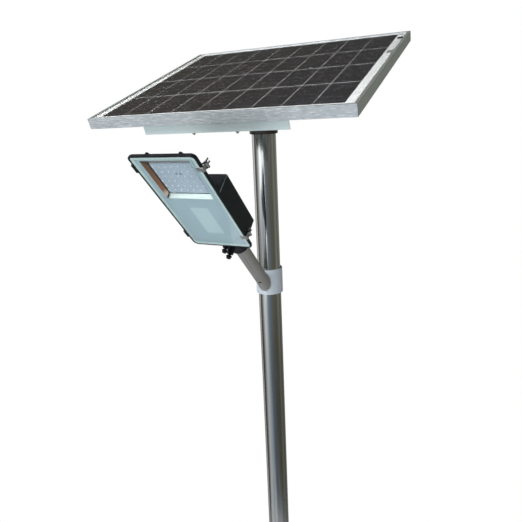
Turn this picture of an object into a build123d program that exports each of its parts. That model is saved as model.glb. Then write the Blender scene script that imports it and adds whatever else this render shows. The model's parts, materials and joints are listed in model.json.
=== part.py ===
from build123d import *
import os
from math import cos, radians, sin

# Solar street lamp on a base-plated pole.
# Frame: X runs along the panel's long edge; -Y is the front, where the panel's low edge and the
# lamp head are; Z is up. Origin: centre of the base plate's underside, on the pole axis.
# All lengths are in millimetres and all angles in degrees.

# ---- driving dimensions -------------------------------------------------------------------
RUNNING = 0.05  # radial clearance of a tube or pin that turns in its hole
TIP_GAP = 0.15  # a set bolt's tip to the tube that it grips
BITE = 1.0  # how far one shape runs into another that it is joined to
NUT_TO_HEAD = 1.3  # a nut's height over its bolt's head height

# base and pole
BASE_SIDE = 350.0
BASE_THICK = 20.0
BASE_CORNER = 25.0
ANCHOR_SPACING = 270.0
ANCHOR_HOLE_R = 12.0
CABLE_ENTRY_R = 30.0
GUSSET_LEG = 90.0
GUSSET_HEIGHT = 140.0
GUSSET_TOE = 15.0
GUSSET_THICK = 8.0
POLE_R = 38.05
POLE_WALL = 3.0
WIRE_SLOT_W = 16.0
WIRE_SLOT_H = 50.0

# tilt joint on top of the pole
PIVOT_Z = 3000.0
PANEL_TILT = 20.0
PIVOT_TO_GLASS = 85.0
PLATE = 6.0  # bracket plate thickness
CAP_DROP = 30.0  # pivot down to the top of the socket cap
GROMMET_R = 9.0
GROMMET_LIP_R = 12.0
GROMMET_BORE_R = 5.0
SOCKET_R = 44.45
SOCKET_BOTTOM = 2901.0
SOCKET_ROUND = 4.0
YOKE_HALF_W = 46.0
YOKE_BASE_HALF_D = 32.0
PIVOT_EYE_R = 20.0
PIVOT_BOLT_R = 6.0
PIVOT_BOLT_FLATS = 18.0
PIVOT_BOLT_HEAD = 7.5
PIVOT_WASHER_R = 12.0
LOCK_RADIUS = 45.0  # pivot to lock bolt
LOCK_ANGLE = -10.0  # of the lock bolt, up from +Y
LOCK_EYE_R = 14.0
LOCK_BOLT_R = 5.0
LOCK_BOLT_FLATS = 16.0
LOCK_BOLT_HEAD = 6.5
LOCK_WASHER_R = 11.0
SLOT_MARGIN = 0.4
TILT_PLATE_FRONT = 30.0  # tilt plate's front edge from the pivot
TILT_MIN = 0.0
TILT_MAX = 45.0
EAR_GAP = 0.5  # yoke ear to tilt plate
WASHER = 2.0
THREAD_END = 0.3  # thread beyond a nut, over the bolt's head height
SET_BOLT_R = 5.0
SET_BOLT_FLATS = 16.0
SET_BOLT_HEAD = 6.5
SET_NUT_HEIGHT = 8.0
SET_BOLT_REACH = 14.0  # head seat beyond the sleeve
SOCKET_BOLT_Z = 2922.0

# solar panel
PANEL_L = 780.0
PANEL_D = 670.0
FRAME_H = 30.0
FRAME_WALL = 1.6
FRAME_LIP = 9.0
CHAMBER_W = 10.6
CHAMBER_BOTTOM = 18.0
FRAME_FLANGE = 35.0
KEY_LEG = 30.0
KEY_SLACK = 0.2
GLASS_INSET = 3.0
GLASS_THICK = 3.2
CELL_THICK = 0.4
BACK_THICK = 1.1
CELL_COLS = 9
CELL_ROWS = 4
CELL_PITCH_X = 79.3
CELL_PITCH_Y = 157.3
CELL_GAP = (1.5, 3.0)
JBOX_Y = 205.0
JBOX_HALF_W = 58.0
JBOX_HALF_D = 38.0
JBOX_DEPTH = 19.0
JBOX_WALL = 2.0
JBOX_LID = 3.0
GLAND_R = 7.0
GLAND_BORE_R = 2.5
GLAND_LEN = 18.0
GLAND_X = 24.0

# rack under the panel
RAIL_LEN = 433.0
RAIL_SETBACK = 16.0
RAIL_LEG = 29.0
ANGLE_THICK = 3.0
MEMBER_FLANGE = 30.0
RACK_BOLT_X = 66.0
RACK_BOLT_SETBACK = 27.0
RACK_BOLT_R = 3.0
RACK_BOLT_FLATS = 10.0
RACK_BOLT_HEAD = 4.0
RACK_NUT = 5.0

# collar and arm
COLLAR_R = 44.45
COLLAR_WALL = 4.0
COLLAR_BOTTOM = 2382.0
COLLAR_HEIGHT = 84.0
COLLAR_BOLT_INSET = 22.0
ARM_ANGLE = 46.0
ARM_ROOT_Z = 2382.0  # where the arm axis meets the pole axis
ARM_R = 21.2
ARM_WALL = 2.6
ARM_WIRE_HOLE_R = 10.0
ARM_DRAIN_R = 5.0
ARM_DRAIN_AT = 95.0
ARM_DRAIN_ANGLE = 80.0  # from +X towards the arm's underside

# lamp head, in its own frame: x across, y outward along the arm, z out of the glass,
# with the middle of the glass face at its origin
LAMP_ALONG_ARM = 551.0
AXIS_Z = -54.0  # arm axis behind the glass
LAMP_W = 186.0
LAMP_L = 368.0
LAMP_CORNER = 14.0
COVER_DEPTH = 5.0
COVER_BORDER = 4.5
COVER_LEDGE = 5.0
LAMP_GLASS = 3.2
FLANGE_TOP = -5.4
FLANGE_BOTTOM = -8.6
FLANGE_INSET = 2.0
CASTING_WALL = 3.0
PAN_HALF_W = 74.0
PAN_TOP = 170.0
PAN_TOP_BACK = 155.0
PAN_BACK = -24.0
FIN_HALF_W = 60.0
FIN_BACK = -34.0
FIN_SPAN = (64.0, 148.0)
FIN_COUNT = 11
FIN_THICK = 2.4
TOP_BOSS_X = 46.0
TOP_BOSS_Y = 172.0
TOP_BOSS_R = 5.5
TOP_BOSS_BACK = -18.0
BOX_HALF_W = 85.0
BOX_BACK = -72.0
BOX_END = -153.0
BOX_SHOULDER = 54.0
BOX_SHOULDER_BACK = 39.0
GASKET_OUT = 4.0  # gasket groove, inward from the flange's edge
GASKET_W = 3.5
GASKET_DEEP = 1.4
GASKET_GAP = 0.1

# light engine
WINDOW_Y = 95.5
WINDOW_HALF = (68.0, 69.5)
BOARD_Y = 91.0
BOARD_HALF = (57.5, 54.5)
BOARD_FACE = -17.0
BOARD_THICK = 1.6
BEVEL_GAP = (4.0, 1.0)  # light board's edge to the reflector's back edge
MASK_FACE = -3.9
MASK_THICK = 0.8
MASK_HALF = (82.0, 173.0)
MASK_SCREW_X = 75.5
MASK_SCREW_Y = (165.0, 29.0, -165.0)
MASK_SCREW_R = 1.5
MASK_SCREW_HEAD = 0.5
MASK_SCREW_SHORT = 1.0  # screw's tip to the bottom of its hole
MASK_BOSS_R = 4.0
MASK_BOSS_BACK = -16.0
MASK_WEB_HALF = 2.0
REFLECTOR_THICK = 0.8
LED_COLS = 7
LED_ROWS = 6
LED_PITCH = (18.0, 17.0)
LED_SIDE = 3.5
LED_THICK = 0.7
LENS_PLATE = (-16.0, -14.5)
LENS_INSET = 0.5
LENS_R = 3.0
LENS_HEIGHT = 2.4

# battery and electronics
CELL_R = 16.0
CELL_LEN = 68.0
CELL_BUTTON = 2.0  # height of a cell's end contact
CELL_Z = -50.0
CELL_COLUMNS = (-51.0, -17.0, 17.0, 51.0)
CELL_STARTS = (-110.0, -40.0)
TRAY_HALF_W = 68.0
TRAY_Y = (-114.0, 32.0)
TRAY_LIP = 10.0
TRAY_WALL = 2.0
STRAP_HALF_W = 6.0
STRAP_THICK = 1.0
STRAP_SIDE = 2.0
STANDOFF_X = 74.0
STANDOFF_Y = (-120.0, 5.0)
STANDOFF_R = 3.0
PCB_Z = (-29.0, -27.4)
PCB_HALF_W = 77.5
PCB_Y = (-130.0, 15.0)
# capacitors on the board as (radius, height, x, y)
CAPACITORS = [
    (7.0, 12.0, -55.0, -30.0),
    (7.0, 12.0, -36.0, -30.0),
    (5.0, 13.0, -58.0, -62.0),
    (5.0, 13.0, -44.0, -62.0),
    (5.0, 13.0, -30.0, -62.0),
]
CHOKE_AT = (35.0, -55.0)
CHOKE_R = 11.0
CHOKE_BORE_R = 5.0
CHOKE_HEIGHT = 9.0
COOLER_X = (-10.0, 20.0)
COOLER_Y = (-25.0, 5.0)
COOLER_BASE = 2.0
COOLER_HEIGHT = 11.0
COOLER_FINS = 8
COOLER_FIN_THICK = 1.5
DRIVER_X = (30.0, 46.0)
DRIVER_Y = (-20.0, -4.0)
DRIVER_THICK = 1.5
TERMINAL_X = (-30.0, 30.0)
TERMINAL_Y = (-122.0, -108.0)
TERMINAL_HEIGHT = 11.0
TERMINAL_WAYS = 6
TERMINAL_SCREW_R = 2.5
TERMINAL_SCREW_Y = -113.0
TERMINAL_SCREW_FOOT = 5.0  # screw well's floor above the board
TERMINAL_MOUTH_HALF_W = 3.0
TERMINAL_MOUTH_Z = (1.0, 6.0)  # above the board

# spigot, hinge and latches
SPIGOT_R = 28.0
SPIGOT_END = -268.0
SPIGOT_FLANGE = 5.0
SPIGOT_FLANGE_HALF_W = 40.0
SPIGOT_FLANGE_MARGIN = 1.0
SPIGOT_BORE_STOP = -160.0
SPIGOT_WIRE_R = 12.0
ARM_END = -161.0
CLAMP_BOLT_Y = (-200.0, -231.0)
CLAMP_BOSS_R = 10.0
CLAMP_BOSS_TOP = -4.0
CLAMP_BOLT_R = 4.0
CLAMP_BOLT_FLATS = 13.0
CLAMP_BOLT_HEAD = 5.5
CLAMP_SEAT = 6.0
CLAMP_FLANGE_R = 8.5
CLAMP_FLANGE = 1.6
HINGE_X = -98.0
HINGE_Z = -5.0
HINGE_Y = (137.0, -137.0)
KNUCKLE_R = 4.5
KNUCKLE_HALF = 5.0  # half of the cover's knuckle
KNUCKLE_SIDE = 7.0  # length of each housing knuckle
KNUCKLE_GAP = 0.3
KNUCKLE_LIFT = 0.2  # underside of the cover's hinge arm above the pin's axis
HINGE_PIN_R = 1.5
HINGE_PIN_PROUD = 1.0
LATCH_X = 98.0
LATCH_Z = -15.0
LATCH_Y = {"upper": 139.0, "lower": -132.0}
LATCH_HALF_W = 7.0
LATCH_SHEET = 1.5
LATCH_EYE_R = 3.3
LATCH_PIN_R = 1.6
LATCH_PIN_PROUD = 0.7
LATCH_EAR = 2.0
LATCH_EAR_GAP = 0.3
LATCH_NOTCH_X = 90.0
LATCH_NOTCH_GAP = 0.5
LATCH_NOSE_GAP = 0.4
LATCH_PRESS = 0.2  # how far the latch's crown stands below the strike's face
LATCH_TAIL_Z = -29.0
LATCH_FORK_Z = -22.0
LATCH_FLARE = 1.4
STRIKE_INNER_X = 77.0
STRIKE_THICK = 0.8

# ---- worked-out levels --------------------------------------------------------------------
CAP_TOP = PIVOT_Z - CAP_DROP
POLE_TOP = CAP_TOP - PLATE
YOKE_FLOOR = CAP_TOP + PLATE
PLATE_INNER = YOKE_HALF_W + EAR_GAP
PLATE_OUTER = PLATE_INNER + PLATE
RACK_TOP = -FRAME_H
RACK_BOTTOM = RACK_TOP - RAIL_LEG
RAIL_FACE = PANEL_D / 2 - RAIL_SETBACK
RACK_BOLT_Y = PANEL_D / 2 - RACK_BOLT_SETBACK
COLLAR_TOP = COLLAR_BOTTOM + COLLAR_HEIGHT
GLASS_BACK = -FRAME_WALL - GLASS_THICK
CELL_BACK = GLASS_BACK - CELL_THICK
LAMINATE_BACK = CELL_BACK - BACK_THICK
HALF_W = LAMP_W / 2
HALF_L = LAMP_L / 2
# set bolts as (angle about the pole, height)
SOCKET_BOLTS = [(angle, SOCKET_BOLT_Z) for angle in (90, 210, 330)]
COLLAR_BOLTS = [(90, COLLAR_BOTTOM + COLLAR_BOLT_INSET), (90, COLLAR_TOP - COLLAR_BOLT_INSET)]

PANEL = Pos(0, 0, PIVOT_Z) * Rot(PANEL_TILT, 0, 0) * Pos(0, 0, PIVOT_TO_GLASS)
HEAD = Pos(0, 0, ARM_ROOT_Z) * Rot(180 - ARM_ANGLE, 0, 0) * Pos(0, LAMP_ALONG_ARM, -AXIS_Z)


# ---- shape helpers ------------------------------------------------------------------------
def block(x, y, z):
    """A box between the low and high ends of each axis."""
    centre = [(low + high) / 2 for low, high in (x, y, z)]
    return Pos(*centre) * Box(x[1] - x[0], y[1] - y[0], z[1] - z[0])


def rod(radius, start, end):
    """A round bar between two points."""
    run = Vector(*end) - Vector(*start)
    return extrude(Plane(origin=start, z_dir=run) * Circle(radius), run.length)


def hexagon(across_flats, start, end):
    """A hexagonal bar between two points."""
    run = Vector(*end) - Vector(*start)
    outline = RegularPolygon(across_flats / 2, 6, major_radius=False)
    return extrude(Plane(origin=start, z_dir=run) * outline, run.length)


def along(start, direction, distance):
    """The point a distance from start in a direction."""
    return tuple(Vector(*start) + Vector(*direction).normalized() * distance)


def bolt(seat, direction, radius, length, across_flats, head):
    """A hexagon bolt whose head stands on seat, with its shank running the other way."""
    shank = rod(radius, along(seat, direction, -length), seat)
    return shank + hexagon(across_flats, seat, along(seat, direction, head))


def nut(seat, direction, radius, across_flats, height):
    """A hexagon nut standing on seat."""
    top = along(seat, direction, height)
    return hexagon(across_flats, seat, top) - rod(radius, seat, top)


def slab(half_w, half_l, corner, z, y=0.0):
    """A flat plate with round corners between two heights."""
    return Pos(0, y, z[0]) * extrude(RectangleRounded(2 * half_w, 2 * half_l, corner), z[1] - z[0])


def profile_x(points, x):
    """A closed (y, z) outline run along X between two places."""
    face = Plane.YZ.offset(x[0]) * Polygon(*points, align=None)
    return extrude(face, x[1] - x[0], dir=(1, 0, 0))


def profile_y(points, y):
    """A closed (x, z) outline run along Y between two places."""
    face = Plane.XZ.offset(-y[0]) * Polygon(*points, align=None)
    return extrude(face, y[1] - y[0], dir=(0, 1, 0))


def save(name, *shapes):
    """Write one node, with its pieces as separate solids."""
    pieces = [solid for shape in shapes for solid in shape.solids()]
    whole = pieces[0] if len(pieces) == 1 else Compound(children=pieces)
    export_step(whole, f"parts/{name}.step")


# ---- base and pole ------------------------------------------------------------------------
def base_plate():
    plate = slab(BASE_SIDE / 2, BASE_SIDE / 2, BASE_CORNER, (0, BASE_THICK))
    plate -= rod(CABLE_ENTRY_R, (0, 0, 0), (0, 0, BASE_THICK))
    for x in (-ANCHOR_SPACING / 2, ANCHOR_SPACING / 2):
        for y in (-ANCHOR_SPACING / 2, ANCHOR_SPACING / 2):
            plate -= rod(ANCHOR_HOLE_R, (x, y, 0), (x, y, BASE_THICK))
    return plate


def gussets():
    """Four tapered ribs between the plate and the pole."""
    reach = POLE_R + GUSSET_LEG
    top = BASE_THICK + GUSSET_HEIGHT
    outline = [
        (0, BASE_THICK),
        (reach, BASE_THICK),
        (reach, BASE_THICK + GUSSET_TOE),
        (POLE_R + GUSSET_TOE, top),
        (0, top),
    ]
    rib = profile_y(outline, (-GUSSET_THICK / 2, GUSSET_THICK / 2))
    rib -= rod(POLE_R, (0, 0, BASE_THICK), (0, 0, top))
    return [Rot(0, 0, quarter) * rib for quarter in (0, 90, 180, 270)]


def pole_tube():
    foot = (0, 0, BASE_THICK)
    head = (0, 0, POLE_TOP)
    tube = rod(POLE_R, foot, head) - rod(POLE_R - POLE_WALL, foot, head)
    middle = (COLLAR_BOTTOM + COLLAR_TOP) / 2
    slot_z = (middle - WIRE_SLOT_H / 2, middle + WIRE_SLOT_H / 2)
    return tube - block((-WIRE_SLOT_W / 2, WIRE_SLOT_W / 2), (-POLE_R - 1, 0), slot_z)


# ---- swivelling mount on the pole top -----------------------------------------------------
def set_bolt(angle, z, sleeve_r):
    """A set bolt through a sleeve, aimed at the pole axis."""
    out = (cos(radians(angle)), sin(radians(angle)), 0)
    seat = along((0, 0, z), out, sleeve_r + SET_BOLT_REACH)
    length = sleeve_r + SET_BOLT_REACH - POLE_R - TIP_GAP
    return bolt(seat, out, SET_BOLT_R, length, SET_BOLT_FLATS, SET_BOLT_HEAD)


def weld_nut(angle, z, sleeve_r):
    """The nut welded outside a sleeve for a set bolt."""
    out = (cos(radians(angle)), sin(radians(angle)), 0)
    seat = along((0, 0, z), out, sleeve_r - SET_BOLT_HEAD / 2)
    body = nut(seat, out, SET_BOLT_R, SET_BOLT_FLATS, SET_NUT_HEIGHT + SET_BOLT_HEAD / 2)
    return body - rod(sleeve_r, (0, 0, z - SET_BOLT_FLATS), (0, 0, z + SET_BOLT_FLATS))


def set_bolt_hole(angle, z, sleeve_r):
    out = (cos(radians(angle)), sin(radians(angle)), 0)
    return rod(SET_BOLT_R, (0, 0, z), along((0, 0, z), out, sleeve_r + 1))


def mount_socket():
    foot = (0, 0, SOCKET_BOTTOM)
    head = (0, 0, POLE_TOP)
    sleeve = rod(SOCKET_R, foot, head)
    sleeve = fillet(sleeve.edges().sort_by(Axis.Z)[0], SOCKET_ROUND)
    sleeve -= rod(POLE_R + RUNNING, foot, head)
    for angle, z in SOCKET_BOLTS:
        sleeve -= set_bolt_hole(angle, z, SOCKET_R)
    return sleeve


def socket_cap():
    cap = rod(SOCKET_R, (0, 0, POLE_TOP), (0, 0, CAP_TOP))
    return cap - rod(GROMMET_R, (0, 0, POLE_TOP), (0, 0, CAP_TOP))


def wire_grommet():
    lip_top = YOKE_FLOOR + WASHER
    body = rod(GROMMET_R, (0, 0, POLE_TOP), (0, 0, YOKE_FLOOR))
    body += rod(GROMMET_LIP_R, (0, 0, YOKE_FLOOR), (0, 0, lip_top))
    return body - rod(GROMMET_BORE_R, (0, 0, POLE_TOP), (0, 0, lip_top))


def lock_point(tilt):
    """Where the lock bolt is from the pivot, seen by a plate that has turned by tilt."""
    angle = radians(LOCK_ANGLE - tilt)
    return LOCK_RADIUS * cos(angle), LOCK_RADIUS * sin(angle)


def tilt_yoke():
    """A plate on the socket cap with two ears that carry the pivot."""
    half = YOKE_HALF_W
    base = block((-half, half), (-YOKE_BASE_HALF_D, YOKE_BASE_HALF_D), (CAP_TOP, YOKE_FLOOR))
    foot = Pos(0, (PLATE - 2 * CAP_DROP) / 2) * Rectangle(2 * YOKE_BASE_HALF_D, PLATE)
    eyes = Circle(PIVOT_EYE_R) + Pos(*lock_point(0)) * Circle(LOCK_EYE_R)
    outline = make_hull((foot + eyes).edges())
    outline -= Circle(PIVOT_BOLT_R + RUNNING)
    outline -= Pos(*lock_point(0)) * Circle(LOCK_BOLT_R)
    yoke = base - rod(GROMMET_R, (0, 0, CAP_TOP), (0, 0, YOKE_FLOOR))
    for inner in (-half, half - PLATE):
        face = Plane.YZ.offset(inner) * outline
        yoke += Pos(0, 0, PIVOT_Z) * extrude(face, PLATE)
    return yoke


def cross_bolt(centre, radius, across_flats, head, washer_r):
    """A bolt along X through both tilt plates, with a washer under its head and its nut."""
    y, z = centre
    seat = PLATE_OUTER + WASHER
    length = 2 * seat + (NUT_TO_HEAD + THREAD_END) * head
    shank = bolt((-seat, y, z), (-1, 0, 0), radius, length, across_flats, head)
    shank += rod(washer_r, (-seat, y, z), (-PLATE_OUTER, y, z))
    washer = rod(washer_r, (PLATE_OUTER, y, z), (seat, y, z)) - rod(radius, (0, y, z), (seat, y, z))
    return shank, washer + nut((seat, y, z), (1, 0, 0), radius, across_flats, NUT_TO_HEAD * head)


# ---- tilting rack under the panel ---------------------------------------------------------
def tilt_plates():
    """Two plates on the pivot, slotted for the lock bolt, in the panel's frame."""
    half_slot = LOCK_BOLT_R + SLOT_MARGIN
    steps = [TILT_MIN, (TILT_MIN + TILT_MAX) / 2, TILT_MAX]
    pivot = Pos(0, -PIVOT_TO_GLASS)
    top_y = (-TILT_PLATE_FRONT, lock_point(0)[0] + LOCK_EYE_R)
    top_height = RACK_TOP - ANGLE_THICK - RACK_BOTTOM
    top_centre = Pos(sum(top_y) / 2, RACK_BOTTOM + top_height / 2)
    shape = top_centre * Rectangle(top_y[1] - top_y[0], top_height)
    shape += pivot * Circle(PIVOT_EYE_R)
    for tilt in steps:
        shape += pivot * Pos(*lock_point(tilt)) * Circle(LOCK_EYE_R)
    outline = make_hull(shape.edges())
    outline -= pivot * Circle(PIVOT_BOLT_R)
    arc = CenterArc((0, 0), LOCK_RADIUS, LOCK_ANGLE - TILT_MAX, TILT_MAX - TILT_MIN)
    outline -= pivot * SlotArc(arc, 2 * half_slot)
    return [
        extrude(Plane.YZ.offset(inner) * outline, PLATE)
        for inner in (-PLATE_OUTER, PLATE_INNER)
    ]


def cross_members():
    """Two channels from rail to rail, open outward."""
    top = RACK_TOP - ANGLE_THICK
    run = (-RAIL_FACE + ANGLE_THICK, RAIL_FACE - ANGLE_THICK)
    outer = PLATE_OUTER + MEMBER_FLANGE
    channel = block((PLATE_OUTER, outer), run, (RACK_BOTTOM, top))
    hollow_z = (RACK_BOTTOM + ANGLE_THICK, top - ANGLE_THICK)
    channel -= block((PLATE_OUTER + ANGLE_THICK, outer), run, hollow_z)
    for y in (-RACK_BOLT_Y, RACK_BOLT_Y):
        channel -= rod(RACK_BOLT_R, (RACK_BOLT_X, y, RACK_BOTTOM), (RACK_BOLT_X, y, top))
    return [channel, mirror(channel, about=Plane.YZ)]


def front_rail():
    """An angle bar along the low edge: one leg under the frame, one facing out."""
    x = (-RAIL_LEN / 2, RAIL_LEN / 2)
    outside = -RAIL_FACE
    rail = block(x, (outside, outside + ANGLE_THICK), (RACK_BOTTOM, RACK_TOP))
    rail += block(x, (outside, outside + RAIL_LEG), (RACK_TOP - ANGLE_THICK, RACK_TOP))
    for side in (-RACK_BOLT_X, RACK_BOLT_X):
        rail -= rod(RACK_BOLT_R, (side, -RACK_BOLT_Y, RACK_BOTTOM), (side, -RACK_BOLT_Y, RACK_TOP))
    return rail


def rack_places():
    return [(x, y) for x in (-RACK_BOLT_X, RACK_BOLT_X) for y in (-RACK_BOLT_Y, RACK_BOLT_Y)]


def rack_bolts():
    seat = RACK_TOP + FRAME_WALL
    length = seat - RACK_BOTTOM + RACK_NUT + RACK_BOLT_R
    return [
        bolt((x, y, seat), (0, 0, 1), RACK_BOLT_R, length, RACK_BOLT_FLATS, RACK_BOLT_HEAD)
        for x, y in rack_places()
    ]


def rack_nuts():
    return [
        nut((x, y, RACK_BOTTOM), (0, 0, -1), RACK_BOLT_R, RACK_BOLT_FLATS, RACK_NUT)
        for x, y in rack_places()
    ]


# ---- solar panel --------------------------------------------------------------------------
def frame_side(length, depth):
    """One mitred side of the frame, along X at the low edge."""
    x = (-length / 2, length / 2)
    edge = -depth / 2
    shelf_top = LAMINATE_BACK
    parts = [
        block(x, (edge, edge + FRAME_WALL), (-FRAME_H, 0)),
        block(x, (edge, edge + FRAME_LIP), (-FRAME_WALL, 0)),
        block(x, (edge, edge + CHAMBER_W), (shelf_top - FRAME_WALL, shelf_top)),
        block(x, (edge + CHAMBER_W - FRAME_WALL, edge + CHAMBER_W), (-CHAMBER_BOTTOM, shelf_top)),
        block(x, (edge, edge + CHAMBER_W), (-CHAMBER_BOTTOM, FRAME_WALL - CHAMBER_BOTTOM)),
        block(x, (edge, edge + FRAME_FLANGE), (-FRAME_H, FRAME_WALL - FRAME_H)),
    ]
    bar = parts[0] + parts[1:]
    cut = FRAME_FLANGE + 1
    mitre = Polygon(
        (x[0], edge),
        (x[1], edge),
        (x[1] - cut, edge + cut),
        (x[0] + cut, edge + cut),
        align=None,
    )
    return bar & (Pos(0, 0, -FRAME_H) * extrude(mitre, FRAME_H, dir=(0, 0, 1)))


def frame_front():
    side = frame_side(PANEL_L, PANEL_D)
    for x in (-RACK_BOLT_X, RACK_BOLT_X):
        side -= rod(RACK_BOLT_R, (x, -RACK_BOLT_Y, RACK_TOP), (x, -RACK_BOLT_Y, RACK_TOP + FRAME_WALL))
    return side


def corner_keys():
    """L-shaped keys that join the frame's chambers at its corners."""
    low = FRAME_WALL + KEY_SLACK
    high = CHAMBER_W - FRAME_WALL - KEY_SLACK
    z = (FRAME_WALL - CHAMBER_BOTTOM + KEY_SLACK, LAMINATE_BACK - FRAME_WALL - KEY_SLACK)
    left = -PANEL_L / 2
    front = -PANEL_D / 2
    key = block((left + low, left + KEY_LEG), (front + low, front + high), z)
    key += block((left + low, left + high), (front + low, front + KEY_LEG), z)
    pair = [key, mirror(key, about=Plane.YZ)]
    return pair + [mirror(piece, about=Plane.XZ) for piece in pair]


def panel_sheet(z):
    half_l = PANEL_L / 2 - GLASS_INSET
    half_d = PANEL_D / 2 - GLASS_INSET
    return block((-half_l, half_l), (-half_d, half_d), z)


def solar_cells():
    cell = Box(CELL_PITCH_X - CELL_GAP[0], CELL_PITCH_Y - CELL_GAP[1], CELL_THICK)
    layer = Pos(0, 0, (GLASS_BACK + CELL_BACK) / 2)
    grid = GridLocations(CELL_PITCH_X, CELL_PITCH_Y, CELL_COLS, CELL_ROWS)
    return [layer * place * cell for place in grid]


def junction_box():
    """A shallow box on the back sheet, open downward, with two wire outlets."""
    x = (-JBOX_HALF_W, JBOX_HALF_W)
    y = (JBOX_Y - JBOX_HALF_D, JBOX_Y + JBOX_HALF_D)
    bottom = LAMINATE_BACK - JBOX_DEPTH
    box = fillet(block(x, y, (bottom, LAMINATE_BACK)).edges().filter_by(Axis.Z), JBOX_WALL * 2)
    inside_x = (x[0] + JBOX_WALL, x[1] - JBOX_WALL)
    inside_y = (y[0] + JBOX_WALL, y[1] - JBOX_WALL)
    box -= block(inside_x, inside_y, (bottom, LAMINATE_BACK - JBOX_WALL))
    middle = LAMINATE_BACK - JBOX_DEPTH / 2
    for side in (-GLAND_X, GLAND_X):
        box -= rod(GLAND_BORE_R, (side, y[0], middle), (side, inside_y[0], middle))
    return box


def junction_lid():
    top = LAMINATE_BACK - JBOX_DEPTH
    lid = slab(JBOX_HALF_W, JBOX_HALF_D, JBOX_WALL * 2, (top - JBOX_LID, top), JBOX_Y)
    return chamfer(lid.edges().group_by(Axis.Z)[0], JBOX_LID / 3)


def junction_glands():
    front = JBOX_Y - JBOX_HALF_D
    middle = LAMINATE_BACK - JBOX_DEPTH / 2
    glands = []
    for x in (-GLAND_X, GLAND_X):
        collar = hexagon(2 * GLAND_R, (x, front, middle), (x, front - GLAND_LEN / 3, middle))
        neck = (x, front - GLAND_LEN / 3, middle)
        dome = rod(GLAND_R - BITE, neck, (x, front - GLAND_LEN, middle))
        dome = fillet(dome.edges().sort_by(Axis.Y)[0], GLAND_R / 4)
        bore = rod(GLAND_BORE_R, (x, front, middle), (x, front - GLAND_LEN, middle))
        glands.append(collar + dome - bore)
    return glands


# ---- collar and arm -----------------------------------------------------------------------
def arm_line(reach):
    """The point on the arm's axis a distance from the pole axis."""
    angle = radians(ARM_ANGLE)
    return (0, -reach * cos(angle), ARM_ROOT_Z + reach * sin(angle))


def arm_collar():
    foot = (0, 0, COLLAR_BOTTOM)
    head = (0, 0, COLLAR_TOP)
    collar = rod(COLLAR_R, foot, head) - rod(COLLAR_R - COLLAR_WALL, foot, head)
    collar -= rod(ARM_WIRE_HOLE_R, arm_line(ARM_R), arm_line(2 * COLLAR_R))
    for angle, z in COLLAR_BOLTS:
        collar -= set_bolt_hole(angle, z, COLLAR_R)
    return collar


def arm_tube():
    """A straight tube, cut to the collar at its root, with a drain hole in its underside."""
    start = arm_line(ARM_R)
    end = arm_line(LAMP_ALONG_ARM + ARM_END)
    tube = rod(ARM_R, start, end) - rod(ARM_R - ARM_WALL, start, end)
    tube -= rod(COLLAR_R, (0, 0, COLLAR_BOTTOM - ARM_R), (0, 0, COLLAR_TOP + ARM_R))
    drain = arm_line(ARM_DRAIN_AT)
    down = sin(radians(ARM_DRAIN_ANGLE))
    slope = radians(ARM_ANGLE)
    out = (cos(radians(ARM_DRAIN_ANGLE)), -down * sin(slope), -down * cos(slope))
    return tube - rod(ARM_DRAIN_R, drain, along(drain, out, 2 * ARM_R))


# ---- lamp head: casting -------------------------------------------------------------------
def lamp_housing():
    """One casting: sealing flange, shallow finned pan, and deep box for the battery."""
    flange = (FLANGE_BOTTOM, FLANGE_TOP)
    half_w = HALF_W - FLANGE_INSET
    half_l = HALF_L - FLANGE_INSET
    shell = slab(half_w, half_l, LAMP_CORNER - FLANGE_INSET, flange)
    pan = [
        (BOX_END, FLANGE_BOTTOM),
        (PAN_TOP, FLANGE_BOTTOM),
        (PAN_TOP_BACK, PAN_BACK),
        (BOX_END, PAN_BACK),
    ]
    shell += profile_x(pan, (-PAN_HALF_W, PAN_HALF_W))
    deep = [
        (BOX_END, FLANGE_BOTTOM),
        (BOX_SHOULDER, FLANGE_BOTTOM),
        (BOX_SHOULDER_BACK, BOX_BACK),
        (BOX_END, BOX_BACK),
    ]
    box = profile_x(deep, (-BOX_HALF_W, BOX_HALF_W))
    back = box.faces().sort_by(Axis.Z)[0]
    shell += fillet(back.edges(), CASTING_WALL)
    shell += cooling_fins()
    for x in (-TOP_BOSS_X, TOP_BOSS_X):
        shell += rod(TOP_BOSS_R, (x, TOP_BOSS_Y, TOP_BOSS_BACK), (x, TOP_BOSS_Y, FLANGE_BOTTOM))
    shell -= housing_cavity()
    shell += mask_bosses()
    for x, y in mask_places():
        shell -= rod(MASK_SCREW_R, (x, y, MASK_BOSS_BACK), (x, y, MASK_FACE))
    shell -= gasket_ring(FLANGE_TOP)
    shell -= rod(SPIGOT_WIRE_R, (0, BOX_END, AXIS_Z), (0, BOX_END + CASTING_WALL, AXIS_Z))
    return shell + hinge_knuckles() + latch_lugs()


def cooling_fins():
    pitch = 2 * (FIN_HALF_W - FIN_THICK / 2) / (FIN_COUNT - 1)
    first = -FIN_HALF_W + FIN_THICK / 2
    fins = []
    for index in range(FIN_COUNT):
        x = first + index * pitch
        fins.append(block((x - FIN_THICK / 2, x + FIN_THICK / 2), FIN_SPAN, (FIN_BACK, PAN_BACK)))
    return fins


def housing_cavity():
    wall = CASTING_WALL
    pan = [
        (BOX_END + wall, FLANGE_TOP),
        (PAN_TOP - wall, FLANGE_TOP),
        (PAN_TOP_BACK - wall, PAN_BACK + wall),
        (BOX_END + wall, PAN_BACK + wall),
    ]
    deep = [
        (BOX_END + wall, FLANGE_TOP),
        (BOX_SHOULDER - wall, FLANGE_TOP),
        (BOX_SHOULDER_BACK - wall, BOX_BACK + wall),
        (BOX_END + wall, BOX_BACK + wall),
    ]
    hollow = profile_x(pan, (wall - PAN_HALF_W, PAN_HALF_W - wall))
    return hollow + profile_x(deep, (wall - BOX_HALF_W, BOX_HALF_W - wall))


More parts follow.
